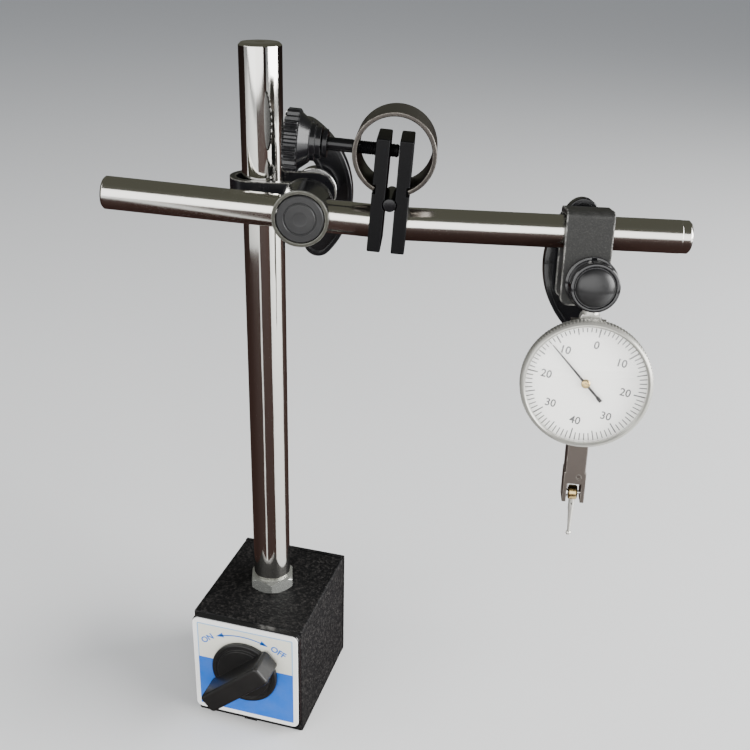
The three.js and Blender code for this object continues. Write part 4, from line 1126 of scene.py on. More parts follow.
@dataclass(frozen=True)
class MagneticBase(SubAssembly):
    """The magnetic base: two poles with a strip between them, covers, plate, screws and nut."""

    rides_on = "base"
    half_width: float = 25.0
    front: float = -30.0
    core_back: float = 28.0
    back: float = 30.0
    height: float = 55.0
    strip: float = 3.0
    bore: float = 14.3
    stud_hole: float = 5.1
    stud_floor: float = 47.7
    edge: float = 0.9
    cover_front: float = -33.0
    cover_half: float = 24.6
    cover_low: float = 5.0
    cover_corner: float = 3.0
    plate_front: float = -33.6
    plate_inset: float = 0.4
    bush: float = 6.3
    bush_bore: float = 4.3
    gap: float = 0.3
    screw_side: float = 19.0
    screw_rows: Point = (6.0, 49.0)
    screw_head: float = 2.8
    screw_rise: float = 1.4
    screw_shank: float = 1.3
    screw_depth: float = 9.0
    stub_hole: float = 3.3
    nut_half: float = 9.0
    nut_top: float = 61.0
    nut_turn: float = 20.0
    letters: Point = (2.9, 0.1)
    words: tuple[tuple[str, float, Point], ...] = (("ON", -37.7, (-17.35, 44.3)), ("OFF", 25.7, (15.5, 44.8)))
    arrow_middle: Point = (-1.1, 17.2)
    arrow_radius: float = 31.7
    arrow_half: float = 0.27
    arrow_span: Point = (71.0, 109.0)
    arrow_heads: tuple[Point, Point] = ((112.6, 157.4), (67.7, 22.3))
    arrow_head: Point = (3.7, 1.25)

    def build(self) -> None:
        """Builds every piece of the base."""
        self.body()
        self.front_plates()
        self.print_words()
        self.rear()
        self.nut()

    def hollowed(self, solid: Solid) -> Solid:
        """Cuts the rotor's bore and the stud's hole.

        Args:
            solid: a piece of the base's core.

        Returns:
            The same piece.
        """
        bore = Solid.rod(self.bore, self.front - PAST, self.back).moved(z=self.places.knob_height)
        stud = Solid.rod(self.stud_hole, self.stud_floor, self.height + PAST, Axis.Z)
        return solid.cut(bore, stud)

    def body(self) -> None:
        """Builds the poles and the strips between them."""
        floor, paint = self.places.floor, self.finishes.crinkle_paint
        for side, name in ((-1.0, "left"), (1.0, "right")):
            low, high = sorted((side * self.strip, side * self.half_width))
            pole = Solid.block((low, self.front, 0.0), (high, self.core_back, self.height))
            pole.eased(self.edge, 3, lambda middle: abs(middle.x) > self.strip + 1)
            node = f"pole_{name}"
            self.put(self.hollowed(pole), floor, paint, f"painted_{node}", "crinkle_paint", node)
        middle = self.places.knob_height
        for node, low, high in (("spacer_bottom", 0.0, middle), ("spacer_top", middle, self.height)):
            strip = Solid.block((-self.strip, self.front, low), (self.strip, self.core_back, high))
            self.put(self.hollowed(strip), floor, paint, f"painted_{node}", "brass", node)

    def front_plates(self) -> None:
        """Builds the glossy cover, the printed plate and the bush."""
        floor = self.places.floor
        top = self.height - self.plate_inset
        outline = rectangle(-self.cover_half, self.cover_low, self.cover_half, top)
        cover = Solid.drawn(outline, self.cover_front, self.front, {self.cover_corner: range(4)})
        cover.eased(0.6, 3, lambda middle: middle.y < self.cover_front + 0.1)
        hole = self.bush + self.gap
        through = (self.plate_front - PAST, self.front + PAST)
        cover.cut(Solid.rod(hole, *through).moved(z=self.places.knob_height))
        self.put(cover, floor, self.finishes.gloss_paint, "glossy_cover", "gloss_paint", "front_cover")

        inset, half = self.plate_inset, self.cover_half - self.plate_inset
        outline = rectangle(-half, self.cover_low + inset, half, top - inset)
        corner = {self.cover_corner - inset: range(4)}
        plate = Solid.drawn(outline, self.plate_front, self.cover_front, corner)
        plate.eased(0.12, 2, lambda middle: middle.y < self.plate_front + 0.1)
        plate.cut(Solid.rod(hole, *through).moved(z=self.places.knob_height))
        middle = floor.shifted(z=(self.cover_low + top) / 2)
        plate.moved(z=-(self.cover_low + top) / 2)
        self.put(plate, middle, self.finishes.plate, "switch_plate", "printed_plate", "label_plate")

        bush = Solid.tube(self.bush, self.bush_bore, self.cover_front, self.front, rounding=0.3)
        self.put(bush, self.places.switch, self.finishes.brass, "shaft_bush", "brass", "rotor_bush")

    def print_words(self) -> None:
        """Prints the switch's words and the arrow between them on the plate."""
        letters = Lettering(*self.letters)
        first, second = (
            letters.words(text).spun(turn, Axis.Y).moved(x, self.plate_front, z)
            for text, turn, (x, z) in self.words
        )
        thickness, middle, front = letters.thickness, self.arrow_middle, self.plate_front
        inner, outer = self.arrow_radius - self.arrow_half, self.arrow_radius + self.arrow_half
        section = [(inner, -thickness), (outer, -thickness), (outer, 0.0), (inner, 0.0)]
        arrow = Solid.band(section, *self.arrow_span, 48).moved(middle[0], front, middle[1])
        length, half = self.arrow_head
        for angle, turn in self.arrow_heads:
            tip = arc(middle, self.arrow_radius, angle, angle, 1)[0]
            head = Solid.drawn([(0.0, 0.0), (-length, half), (-length, -half)], -thickness, 0.0)
            arrow.together(head.spun(turn, Axis.Y).moved(tip[0], front, tip[1]))
        words = first.together(second).together(arrow)
        ink = self.finishes.plate_ink
        self.put(words, self.places.floor, ink, "switch_words", "printed_plate", "label_plate")

    def rear(self) -> None:
        """Builds the rear cover and its four screws."""
        floor = self.places.floor
        high = (self.half_width, self.back, self.height)
        cover = Solid.block((-self.half_width, self.core_back, 0.0), high)
        cover.eased(0.5, 3, lambda middle: middle.y > self.core_back + 0.1)
        cover.cut(Solid.rod(self.stub_hole, self.front, self.back + PAST).moved(z=self.places.knob_height))
        spots = [(side * self.screw_side, row) for row in self.screw_rows for side in (-1.0, 1.0)]
        for x, z in spots:
            hole = Solid.rod(self.screw_shank + self.gap, self.core_back - PAST, self.back + PAST)
            cover.cut(hole.moved(x, 0.0, z))
        paint = self.finishes.crinkle_paint
        self.put(cover, floor, paint, "painted_rear_cover", "crinkle_paint", "rear_cover")
        for number, (x, z) in enumerate(spots, start=1):
            start, top = self.back - self.screw_depth, self.back + self.screw_rise
            screw = Solid.turned(
                [(0.0, start), (self.screw_shank, start), (self.screw_shank, self.back),
                 (self.screw_head, self.back), (self.screw_head, self.back + 0.5),
                 (self.screw_head * 0.75, top), (0.0, top)], rounding=0.15, steps=40,
            )
            for turn in (0.0, 90.0):
                slot = Solid.block((-1.5, top - 0.8, -0.28), (1.5, top + 1, 0.28))
                screw.cut(slot.spun(turn + 13.0 * number, Axis.Y))
            self.put(
                screw, floor.shifted(x, 0.0, z), self.finishes.bright_steel,
                f"cover_screw_rear_{number}", "bright_steel", f"rear_screw_{number}",
            )

    def nut(self) -> None:
        """Builds the hexagon nut under the post."""
        corner = self.nut_half / math.cos(math.pi / 6)
        hexagon = Solid.drawn(arc((0.0, 0.0), corner, 90.0, 390.0, 5), self.height, self.nut_top)
        hexagon.spun(90.0, Axis.X)
        crown = Solid.turned(
            [(0.0, self.height), (self.nut_half + 0.1, self.height), (corner + 0.05, self.height + 1.1),
             (corner + 0.05, self.nut_top - 1.7), (self.nut_half + 0.5, self.nut_top - 0.75),
             (self.nut_half - 0.9, self.nut_top - 0.1), (self.nut_half - 1.6, self.nut_top),
             (0.0, self.nut_top)],
            Axis.Z,
        )
        hole = Solid.rod(self.stud_hole, self.height - PAST, self.nut_top + PAST, Axis.Z)
        nut = hexagon.kept_inside(crown).cut(hole).eased(0.18, 2)
        place = self.places.floor.turned(self.nut_turn, Axis.Z)
        self.put(nut, place, self.finishes.nut_chrome, "lock_nut", "chrome", "foot_nut")


@dataclass(frozen=True)
class Switch(SubAssembly):
    """The switch: its knob, and the rotor inside the base."""

    rides_on = "switch"
    back: float = -33.9
    face: float = -36.3
    top: float = -47.3
    disc: float = 15.0
    bar_half: Point = (17.5, 4.5)
    bar_corner: float = 1.8
    bar_edge: float = 1.2
    bar_angle: float = 41.0
    bore: float = 4.3
    bore_end: float = -44.6

    def build(self) -> None:
        """Builds the knob and dresses the rotor."""
        disc = Solid.turned(
            [(0.0, self.back), (self.disc, self.back), (self.disc, self.face + 1.0),
             (self.disc - 0.5, self.face + 0.5), (self.disc - 1.9, self.face + 0.5),
             (self.disc - 2.2, self.face + 0.9), (self.disc - 2.8, self.face + 0.9),
             (self.disc - 3.2, self.face), (0.0, self.face)], rounding=0.15,
        )
        across, high = self.bar_half
        bar = Solid.drawn(
            rectangle(-across, -high, across, high), self.top, self.face + 1.2, {self.bar_corner: range(4)}
        )
        bar.eased(self.bar_edge, 3, lambda middle: middle.y < self.top + 0.1).spun(-self.bar_angle, Axis.Y)
        knob = disc.joined(bar).cut(Solid.rod(self.bore, self.bore_end, self.back + PAST))
        place, finishes = self.places.switch, self.finishes
        self.put(knob, place, finishes.knob_plastic, "turn_knob", "black_plastic", "switch_knob")
        self.dress(finishes.ground_steel, place, "rotor_shoe_left", "rotor_shoe_right")
        self.dress(finishes.bright_steel, place, "rotor_shaft", "rotor_rear_disc")
        self.dress(finishes.ferrite, place, "rotor_magnet")


@dataclass(frozen=True)
class Post(SubAssembly):
    """The chrome post and the stud that screws into the base."""

    rides_on = "post"
    radius: float = 8.0
    stud: float = 4.8
    stud_end: float = 48.0
    foot: float = 61.0
    top: float = 290.0
    chamfer: float = 1.0

    def build(self) -> None:
        """Builds the post."""
        inner = self.radius - self.chamfer
        post = Solid.turned(
            [(0.0, self.stud_end), (self.stud, self.stud_end), (self.stud, self.foot), (inner, self.foot),
             (self.radius, self.foot + self.chamfer), (self.radius, self.top - self.chamfer),
             (inner, self.top), (2.0, self.top), (0.0, self.top - 1.2)], Axis.Z, 0.15, 128,
        )
        self.put(post, self.places.floor, self.finishes.chrome, "chrome_post", "chrome", "post")


@dataclass(frozen=True)
class PostClip(SubAssembly):
    """The strap that is bent round the post, with an ear on each side of the clamp pin."""

    rides_on = "post_clip"
    inner: float = 8.3
    outer: float = 10.7
    half_height: float = 8.0
    bend: float = -2.0
    ear_middle: float = 18.94
    pin: float = 18.04
    pin_hole: float = 4.3

    def build(self) -> None:
        """Builds the strap from its plan, cuts its ears round and drills them."""
        reach = self.ear_middle + self.half_height
        middle = (self.bend, 0.0)
        plan = [(reach, -self.outer), *arc(middle, self.outer, 270.0, 90.0, 48), (reach, self.outer)]
        plan += [(reach, self.inner), *arc(middle, self.inner, 90.0, 270.0, 48), (reach, -self.inner)]
        strap = Solid.drawn(plan, -self.half_height, self.half_height).spun(90.0, Axis.X)
        side = arc((self.ear_middle, 0.0), self.half_height, -90.0, 90.0, 32)
        left = self.bend - self.outer - 1
        side += [(left, self.half_height), (left, -self.half_height)]
        strap.kept_inside(Solid.drawn(side, -self.outer - 1, self.outer + 1))
        strap.cut(Solid.rod(self.pin_hole, -self.outer - PAST, self.outer + PAST).moved(self.pin))
        strap.eased(0.55, 3)
        self.put(strap, self.places.head, self.finishes.black_paint, "bent_strap", "black_paint", "post_clip")


@dataclass(frozen=True)
class WingLever(SubAssembly):
    """A wing lever: an arched blade with a raised rim, a hub and the steel nut moulded into it."""

    place: Place
    name: str
    tail: float
    tilt: float
    arc_middle: float = -19.5
    arc_radius: float = 28.5
    half_width: float = 5.75
    half_angle: float = 50.0
    hub: float = 8.0
    thickness: float = 8.6
    blade: float = 6.4
    rim: float = 1.7
    pocket: float = 1.3
    nut_wall: float = 2.0
    gap: float = 0.3

    def outline(self, half_width: float) -> list[Point]:
        """Gives the blade's outline: two arcs with round ends.

        Args:
            half_width: half of the blade's width.

        Returns:
            The outline's points.
        """
        middle, half, reach = (self.arc_middle, 0.0), self.half_angle, self.arc_radius
        high, low = arc(middle, reach, half, half, 1)[0], arc(middle, reach, -half, -half, 1)[0]
        points = arc(middle, reach + half_width, -half, half, 40)
        points += arc(high, half_width, half, half + 180.0, 16)[1:]
        points += arc(middle, reach - half_width, half, -half, 40)[1:]
        return points + arc(low, half_width, 180.0 - half, 360.0 - half, 16)[1:-1]

    def build(self) -> None:
        """Builds the lever and its nut."""
        start = (self.thickness - self.blade) / 2
        end = start + self.blade
        lever = Solid.drawn(self.outline(self.half_width), start, end).eased(0.5, 3)
        well = self.outline(self.half_width - self.rim)
        lever.cut(
            Solid.drawn(well, start - PAST, start + self.pocket),
            Solid.drawn(well, end - self.pocket, end + PAST),
        )
        nut = self.tail + self.gap + self.nut_wall
        lever.joined(Solid.rod(self.hub, 0.0, self.thickness, rounding=0.5))
        lever.cut(Solid.rod(nut + self.gap, -PAST, self.thickness + PAST)).spun(self.tilt, Axis.Y)
        plastic = self.finishes.lever_plastic
        self.put(lever, self.place, plastic, f"{self.name}_wing", "black_plastic", self.name, body=self.name)
        steel = Solid.tube(nut, self.tail + self.gap, 0.0, self.thickness, rounding=0.25)
        self.put(
            steel, self.place, self.finishes.bright_steel,
            f"{self.name}_insert", "bright_steel", f"{self.name}_nut", body=self.name,
        )


@dataclass(frozen=True)
class CrossClamp(SubAssembly):
    """The cross clamp: a sleeve round the arm, the pin that pulls the arm, and a washer."""

    rides_on = "cross_clamp"
    sleeve: float = 10.3
    sleeve_bore: float = 8.9
    rim: float = 0.9
    front: float = -30.64
    back: float = -11.0
    arm_hole: float = 6.3
    arm_tilt: float = 3.93
    pin_front: float = -31.14
    pin: float = 8.6
    boss: float = 5.3
    tail: float = 4.0
    tail_end: float = 21.7
    washer: float = 9.0
    washer_span: Point = (11.0, 12.8)
    lever_start: float = 13.1
    lever_tilt: float = -6.0

    def arm_passage(self) -> Solid:
        """Makes the hole that the arm goes through."""
        hole = Solid.rod(self.arm_hole, -14.0, 14.0, Axis.X)
        return hole.spun(self.arm_tilt, Axis.Y).moved(y=-self.places.arm_plane)

    def build(self) -> None:
        """Builds the sleeve, the pin, the washer and the lever."""
        place, finishes, wide = self.places.clamp, self.finishes, self.sleeve
        seam = self.front + self.rim
        rim = Solid.tube(wide, self.sleeve_bore, self.front, seam, rounding=0.3)
        self.put(rim, place, finishes.olive_steel, "sleeve_rim", "grey_paint", "clamp_sleeve")
        sleeve = Solid.turned(
            [(self.sleeve_bore, seam), (wide, seam), (wide, -15.3), (wide - 0.5, -15.1),
             (wide - 0.5, -14.6), (wide, -14.4), (wide, -13.2), (wide - 0.5, -13.0), (wide - 0.5, -12.5),
             (wide, -12.3), (wide, self.back + 0.3), (wide - 0.3, self.back),
             (self.sleeve_bore, self.back)], rounding=0.12,
        ).cut(self.arm_passage())
        self.put(sleeve, place, finishes.gloss_black, "grooved_sleeve", "grey_paint", "clamp_sleeve")
        low = self.pin_front + 0.35
        pin = Solid.turned(
            [(0.0, self.pin_front + 0.1), (2.4, self.pin_front + 0.05), (2.6, self.pin_front),
             (self.boss, self.pin_front), (self.boss + 0.3, low), (self.boss + 0.5, low),
             (self.boss + 0.8, self.pin_front), (self.pin - 0.4, self.pin_front),
             (self.pin, self.pin_front + 0.5), (self.pin, self.back), (self.tail, self.back),
             (self.tail, self.tail_end - 1), (self.tail - 1, self.tail_end), (0.0, self.tail_end)],
            rounding=0.06,
        ).cut(self.arm_passage())
        self.put(pin, place, finishes.turned_black, "clamp_bolt", "dark_steel", "clamp_pin")
        washer = Solid.tube(self.washer, self.tail + 0.3, *self.washer_span, rounding=0.3)
        self.put(washer, place, finishes.bright_steel, "clamp_ring", "bright_steel", "clamp_washer")
        lever = place.shifted(y=self.lever_start)
        WingLever(self.places, finishes, lever, "upper_lever", self.tail, self.lever_tilt).build()


@dataclass(frozen=True)
class InnerArm(SubAssembly):
    """The inner arm, its leg, the hinge pin and the ring spring over both legs."""

    rides_on = "inner_arm"
    radius: float = 6.0
    left: float = -72.93
    right: float = 28.27
    leg_span: Point = (24.57, 29.37)
    half_depth: float = 10.0
    leg_low: float = -8.6
    leg_high: float = 31.4
    leg_floor: float = 0.8
    gap: float = 0.3
    screw_hole: float = 2.65
    screw_height: float = 26.0
    hinge: Point = (31.17, 8.7)
    pin: float = 2.4
    pin_half: float = 9.7
    ring: float = 14.6
    ring_bore: float = 13.0
    ring_height: float = 26.3
    ring_open: float = 25.5
    notch: float = 1.3
    notch_span: Point = (12.2, 15.6)

    def build(self) -> None:
        """Builds the arm, the leg, the pin and the ring."""
        place, finishes = self.places.inner_arm, self.finishes
        arm = Solid.turned(
            [(0.0, self.left), (self.radius - 0.8, self.left), (self.radius, self.left + 0.8),
             (self.radius, self.right - 1), (self.radius - 1, self.right), (0.0, self.right)],
            Axis.X, 0.15, 112,
        )
        self.put(arm, place, finishes.arm_chrome, "left_rod", "chrome", "inner_arm")

        start, end = self.leg_span
        low, high = (start, -self.half_depth, self.leg_low), (end, self.half_depth, self.leg_high)
        leg = Solid.block(low, high).eased(0.5, 3)
        notch = Solid.block(
            (start - PAST, -self.half_depth - PAST, self.notch_span[0]),
            (start + self.notch, self.half_depth + PAST, self.notch_span[1]),
        )
        groove = Solid.rod(self.pin + self.gap, -self.half_depth - PAST, self.half_depth + PAST)
        leg.cut(
            Solid.rod(self.radius + self.gap, start - PAST, end - self.leg_floor, Axis.X), notch,
            Solid.rod(self.screw_hole, start - PAST, end + PAST, Axis.X, steps=32).moved(z=self.screw_height),
            groove.moved(self.hinge[0], 0.0, self.hinge[1]),
        )
        self.put(leg, place, finishes.black_oxide, "left_leg", "dark_steel", "inner_leg")

        pin = Solid.rod(self.pin, -self.pin_half, self.pin_half, rounding=0.4, steps=40)
        pin.moved(self.hinge[0], 0.0, self.hinge[1])
        self.put(pin, place, finishes.screw_black, "leg_pivot", "dark_steel", "hinge_pin")
        self.spring()

    def spring(self) -> None:
        """Builds the ring spring, open at the bottom where its ends hook into the legs."""
        section = [
            (self.ring_bore, -self.pin_half), (self.ring, -self.pin_half),
            (self.ring, self.pin_half), (self.ring_bore, self.pin_half),
        ]
        ring = Solid.band(section, self.ring_open - 90.0, 270.0 - self.ring_open, 120).eased(0.35, 3)
        ring.moved(self.hinge[0], 0.0, self.ring_height)
        ring.cut(
            Solid.rod(self.screw_hole, self.hinge[0] - self.ring - PAST, self.hinge[0], Axis.X, steps=32)
            .moved(z=self.screw_height)
        )
        self.put(
            ring, self.places.inner_arm, self.finishes.spring_steel,
            "bowed_spring", "spring_steel", "ring_spring",
        )


@dataclass(frozen=True)
class FineAdjuster(SubAssembly):
    """The adjusting screw, its ribbed knob and the collar behind it."""

    rides_on = "adjust_knob"
    start: float = -7.73
    rib_end: float = -2.53
    radius: float = 11.0
    rib_depth: float = 0.8
    ribs: int = 26
    cone_end: float = 1.27
    neck: float = 6.6
    neck_end: float = 5.12
    bore: float = 2.65
    bore_start: float = -6.03
    collar: float = 5.0
    collar_span: Point = (5.42, 7.27)
    screw: float = 2.35
    screw_span: Point = (-5.73, 32.45)
    thread_start: float = 16.0
    thread_pitch: float = 0.8
    thread_depth: float = 0.22

    def build(self) -> None:
        """Builds the knob, the collar and the screw."""
        place, finishes = self.places.screw, self.finishes
        inner = self.radius - self.rib_depth - 0.1
        knob = Solid.turned(
            [(0.0, self.start), (self.radius - 0.7, self.start), (self.radius, self.start + 0.7),
             (self.radius, self.rib_end - 0.5), (inner + 0.2, self.rib_end),
             (inner - 0.2, self.rib_end + 0.1), (self.neck + 0.6, self.cone_end - 0.2),
             (self.neck, self.cone_end), (self.neck, self.neck_end - 2.1),
             (self.neck - 0.9, self.neck_end - 1.9), (self.neck - 0.9, self.neck_end),
             (self.bore, self.neck_end), (self.bore, self.bore_start), (0.0, self.bore_start)],
            steps=4 * self.ribs,
        )
        knob.ridged(self.rib_depth, self.ribs, lambda at: math.hypot(at.x, at.z) > inner + 0.25)
        knob.eased(0.12, 2).spun(-90.0, Axis.Z)
        self.put(
            knob, place, finishes.lever_plastic,
            "ribbed_knob", "black_plastic", "adjust_knob", smooth_angle=26.0,
        )
        collar = Solid.tube(self.collar, self.bore, *self.collar_span, Axis.X, 0.3)
        self.put(collar, place, finishes.screw_black, "thin_collar", "dark_steel", "adjust_collar")

        first, last = self.screw_span
        profile = [(0.0, first), (self.screw - 0.5, first), (self.screw, first + 0.5)]
        turns = int((last - 0.8 - self.thread_start) / self.thread_pitch)
        for turn in range(turns):
            at = self.thread_start + turn * self.thread_pitch
            profile += [(self.screw, at), (self.screw - self.thread_depth, at + self.thread_pitch / 2)]
        profile += [(self.screw, last - 0.6), (self.screw - 0.5, last), (0.0, last)]
        screw = Solid.turned(profile, Axis.X, steps=40)
        self.put(
            screw, place, finishes.screw_black,
            "long_screw", "dark_steel", "adjust_screw", body="adjust_screw",
        )


@dataclass(frozen=True)
class OuterArm(SubAssembly):
    """The second leg of the fine adjustment and the arm that it holds."""

    rides_on = "outer_arm"
    leg_turn: float = -0.7
    leg_span: Point = (1.8, 6.6)
    half_depth: float = 10.0
    leg_low: float = -17.3
    leg_high: float = 22.7
    notch: float = 1.3
    notch_span: Point = (3.5, 6.9)
    groove: float = 2.7
    hole: float = 6.3
    hole_start: float = -1.12
    meeting: Point = (3.72, -8.7)
    hole_tilt: float = -2.79
    radius: float = 6.0
    left: float = -70.42
    right: float = 34.3
    step: float = 3.7
    step_depth: float = 0.08

    def build(self) -> None:
        """Builds the leg and the arm."""
        start, end = self.leg_span
        low, high = (start, -self.half_depth, self.leg_low), (end, self.half_depth, self.leg_high)
        leg = Solid.block(low, high).eased(0.5, 3)
        bore = Solid.rod(self.hole, self.hole_start, end + 4, Axis.X).spun(self.hole_tilt, Axis.Y)
        leg.cut(
            bore.moved(self.meeting[0], 0.0, self.meeting[1]),
            Solid.rod(self.groove, -self.half_depth - PAST, self.half_depth + PAST),
            Solid.block(
                (end - self.notch, -self.half_depth - PAST, self.notch_span[0]),
                (end + PAST, self.half_depth + PAST, self.notch_span[1]),
            ),
        )
        place = self.places.hinge.turned(self.leg_turn, Axis.Y)
        self.put(leg, place, self.finishes.black_oxide, "right_leg", "dark_steel", "outer_leg")
        edge = self.right - self.step
        arm = Solid.turned(
            [(0.0, self.left), (self.radius - 1, self.left), (self.radius, self.left + 1),
             (self.radius, edge), (self.radius - self.step_depth, edge + 0.1),
             (self.radius - self.step_depth, self.right - 0.8), (self.radius - 0.9, self.right),
             (0.0, self.right)], Axis.X, 0.06, 112,
        )
        self.put(arm, self.places.outer_arm, self.finishes.arm_chrome, "right_rod", "chrome", "outer_arm")


@dataclass(frozen=True)
class Bracket(SubAssembly):
    """The square strap over the outer arm."""

    rides_on = "arm_bracket"
    left: float = -10.75
    right: float = 6.15
    outer: float = 8.5
    inner: float = 6.3
    low: float = -25.2
    bend: float = 2.4
    corner: float = 3.0
    pin_height: float = -16.7
    pin_hole: float = 3.3

    def build(self) -> None:
        """Builds the strap from its end view, rounds its lower corners and drills it."""
        view = [
            (-self.outer, self.low), (-self.inner, self.low), (-self.inner, self.inner),
            (self.inner, self.inner), (self.inner, self.low), (self.outer, self.low),
            (self.outer, self.outer), (-self.outer, self.outer),
        ]
        corners = {self.bend: (6, 7), 0.5: (2, 3)}
        strap = Solid.drawn(view, -self.right, -self.left, corners).spun(90.0, Axis.Z)
        front = rectangle(self.left - 0.01, self.low, self.right + 0.01, self.outer + 1)
        strap.kept_inside(Solid.drawn(front, -self.outer - 1, self.outer + 1, {self.corner: (0, 1)}))
        strap.cut(Solid.rod(self.pin_hole, -self.outer - PAST, self.outer + PAST).moved(z=self.pin_height))
        strap.eased(0.3, 3)
        self.put(
            strap, self.places.bracket, self.finishes.grey_paint, "square_strap", "grey_paint", "arm_bracket",
        )


@dataclass(frozen=True)
class Holder(SubAssembly):
    """The holder: a flanged sleeve and a domed pin, crossed by the stem, a washer and a lever."""

    rides_on = "holder"
    back: float = -8.8
    flange: float = 9.5
    flange_end: float = -9.8
    sleeve: float = 8.5
    bore: float = 6.3
    sleeve_end: float = -16.2
    stem_hole: float = 3.3
    stem_plane: float = -13.0
    pin: float = 6.0
    tail: float = 3.0
    tail_end: float = 19.2
    head: float = 8.65
    head_back: float = -16.5
    head_front: float = -18.1
    well: float = -17.5
    dome: float = 6.9
    dome_top: float = -20.0
    washer: float = 8.0
    washer_span: Point = (8.8, 10.3)
    lever_start: float = 10.6
    lever_tilt: float = 171.0

    def stem_passage(self) -> Solid:
        """Makes the hole that the stem goes through."""
        return Solid.rod(self.stem_hole, -12.0, 12.0, Axis.Z, steps=40).moved(y=self.stem_plane)

    def build(self) -> None:
        """Builds the sleeve, the pin and its dome, the washer and the lever."""
        place, finishes = self.places.holder, self.finishes
        sleeve = Solid.turned(
            [(self.bore, self.back), (self.flange, self.back), (self.flange, self.flange_end),
             (self.sleeve, self.flange_end), (self.sleeve, self.sleeve_end), (self.bore, self.sleeve_end)],
            rounding=0.25,
        ).cut(self.stem_passage())
        self.put(sleeve, place, finishes.gloss_black, "flanged_sleeve", "dark_steel", "holder_sleeve")
        rim = self.head - 1.5
        pin = Solid.turned(
            [(0.0, self.tail_end), (self.tail - 0.5, self.tail_end), (self.tail, self.tail_end - 0.5),
             (self.tail, self.back), (self.pin, self.back), (self.pin, self.head_back),
             (self.head, self.head_back), (self.head, self.head_front + 0.3),
             (self.head - 0.3, self.head_front), (rim + 0.3, self.head_front), (rim, self.well),
             (0.0, self.well)], rounding=0.1,
        ).cut(self.stem_passage())
        self.put(pin, place, finishes.gloss_black, "cupped_pin", "dark_steel", "holder_pin")
        bulge = self.well - self.dome_top
        curve = [
            (self.dome * math.cos(math.radians(angle)), self.well - bulge * math.sin(math.radians(angle)))
            for angle in range(0, 90, 6)
        ]
        foot = self.well + 0.4
        dome = Solid.turned([(0.0, foot), (self.dome, foot), *curve, (0.0, self.dome_top)])
        self.put(dome, place, finishes.dome_plastic, "round_dome", "dark_steel", "holder_pin")
        washer = Solid.tube(self.washer, self.tail + 0.3, *self.washer_span, rounding=0.25)
        self.put(washer, place, finishes.bright_steel, "holder_ring", "bright_steel", "holder_washer")
        lever = place.shifted(y=self.lever_start)
        WingLever(self.places, finishes, lever, "lower_lever", self.tail, self.lever_tilt).build()


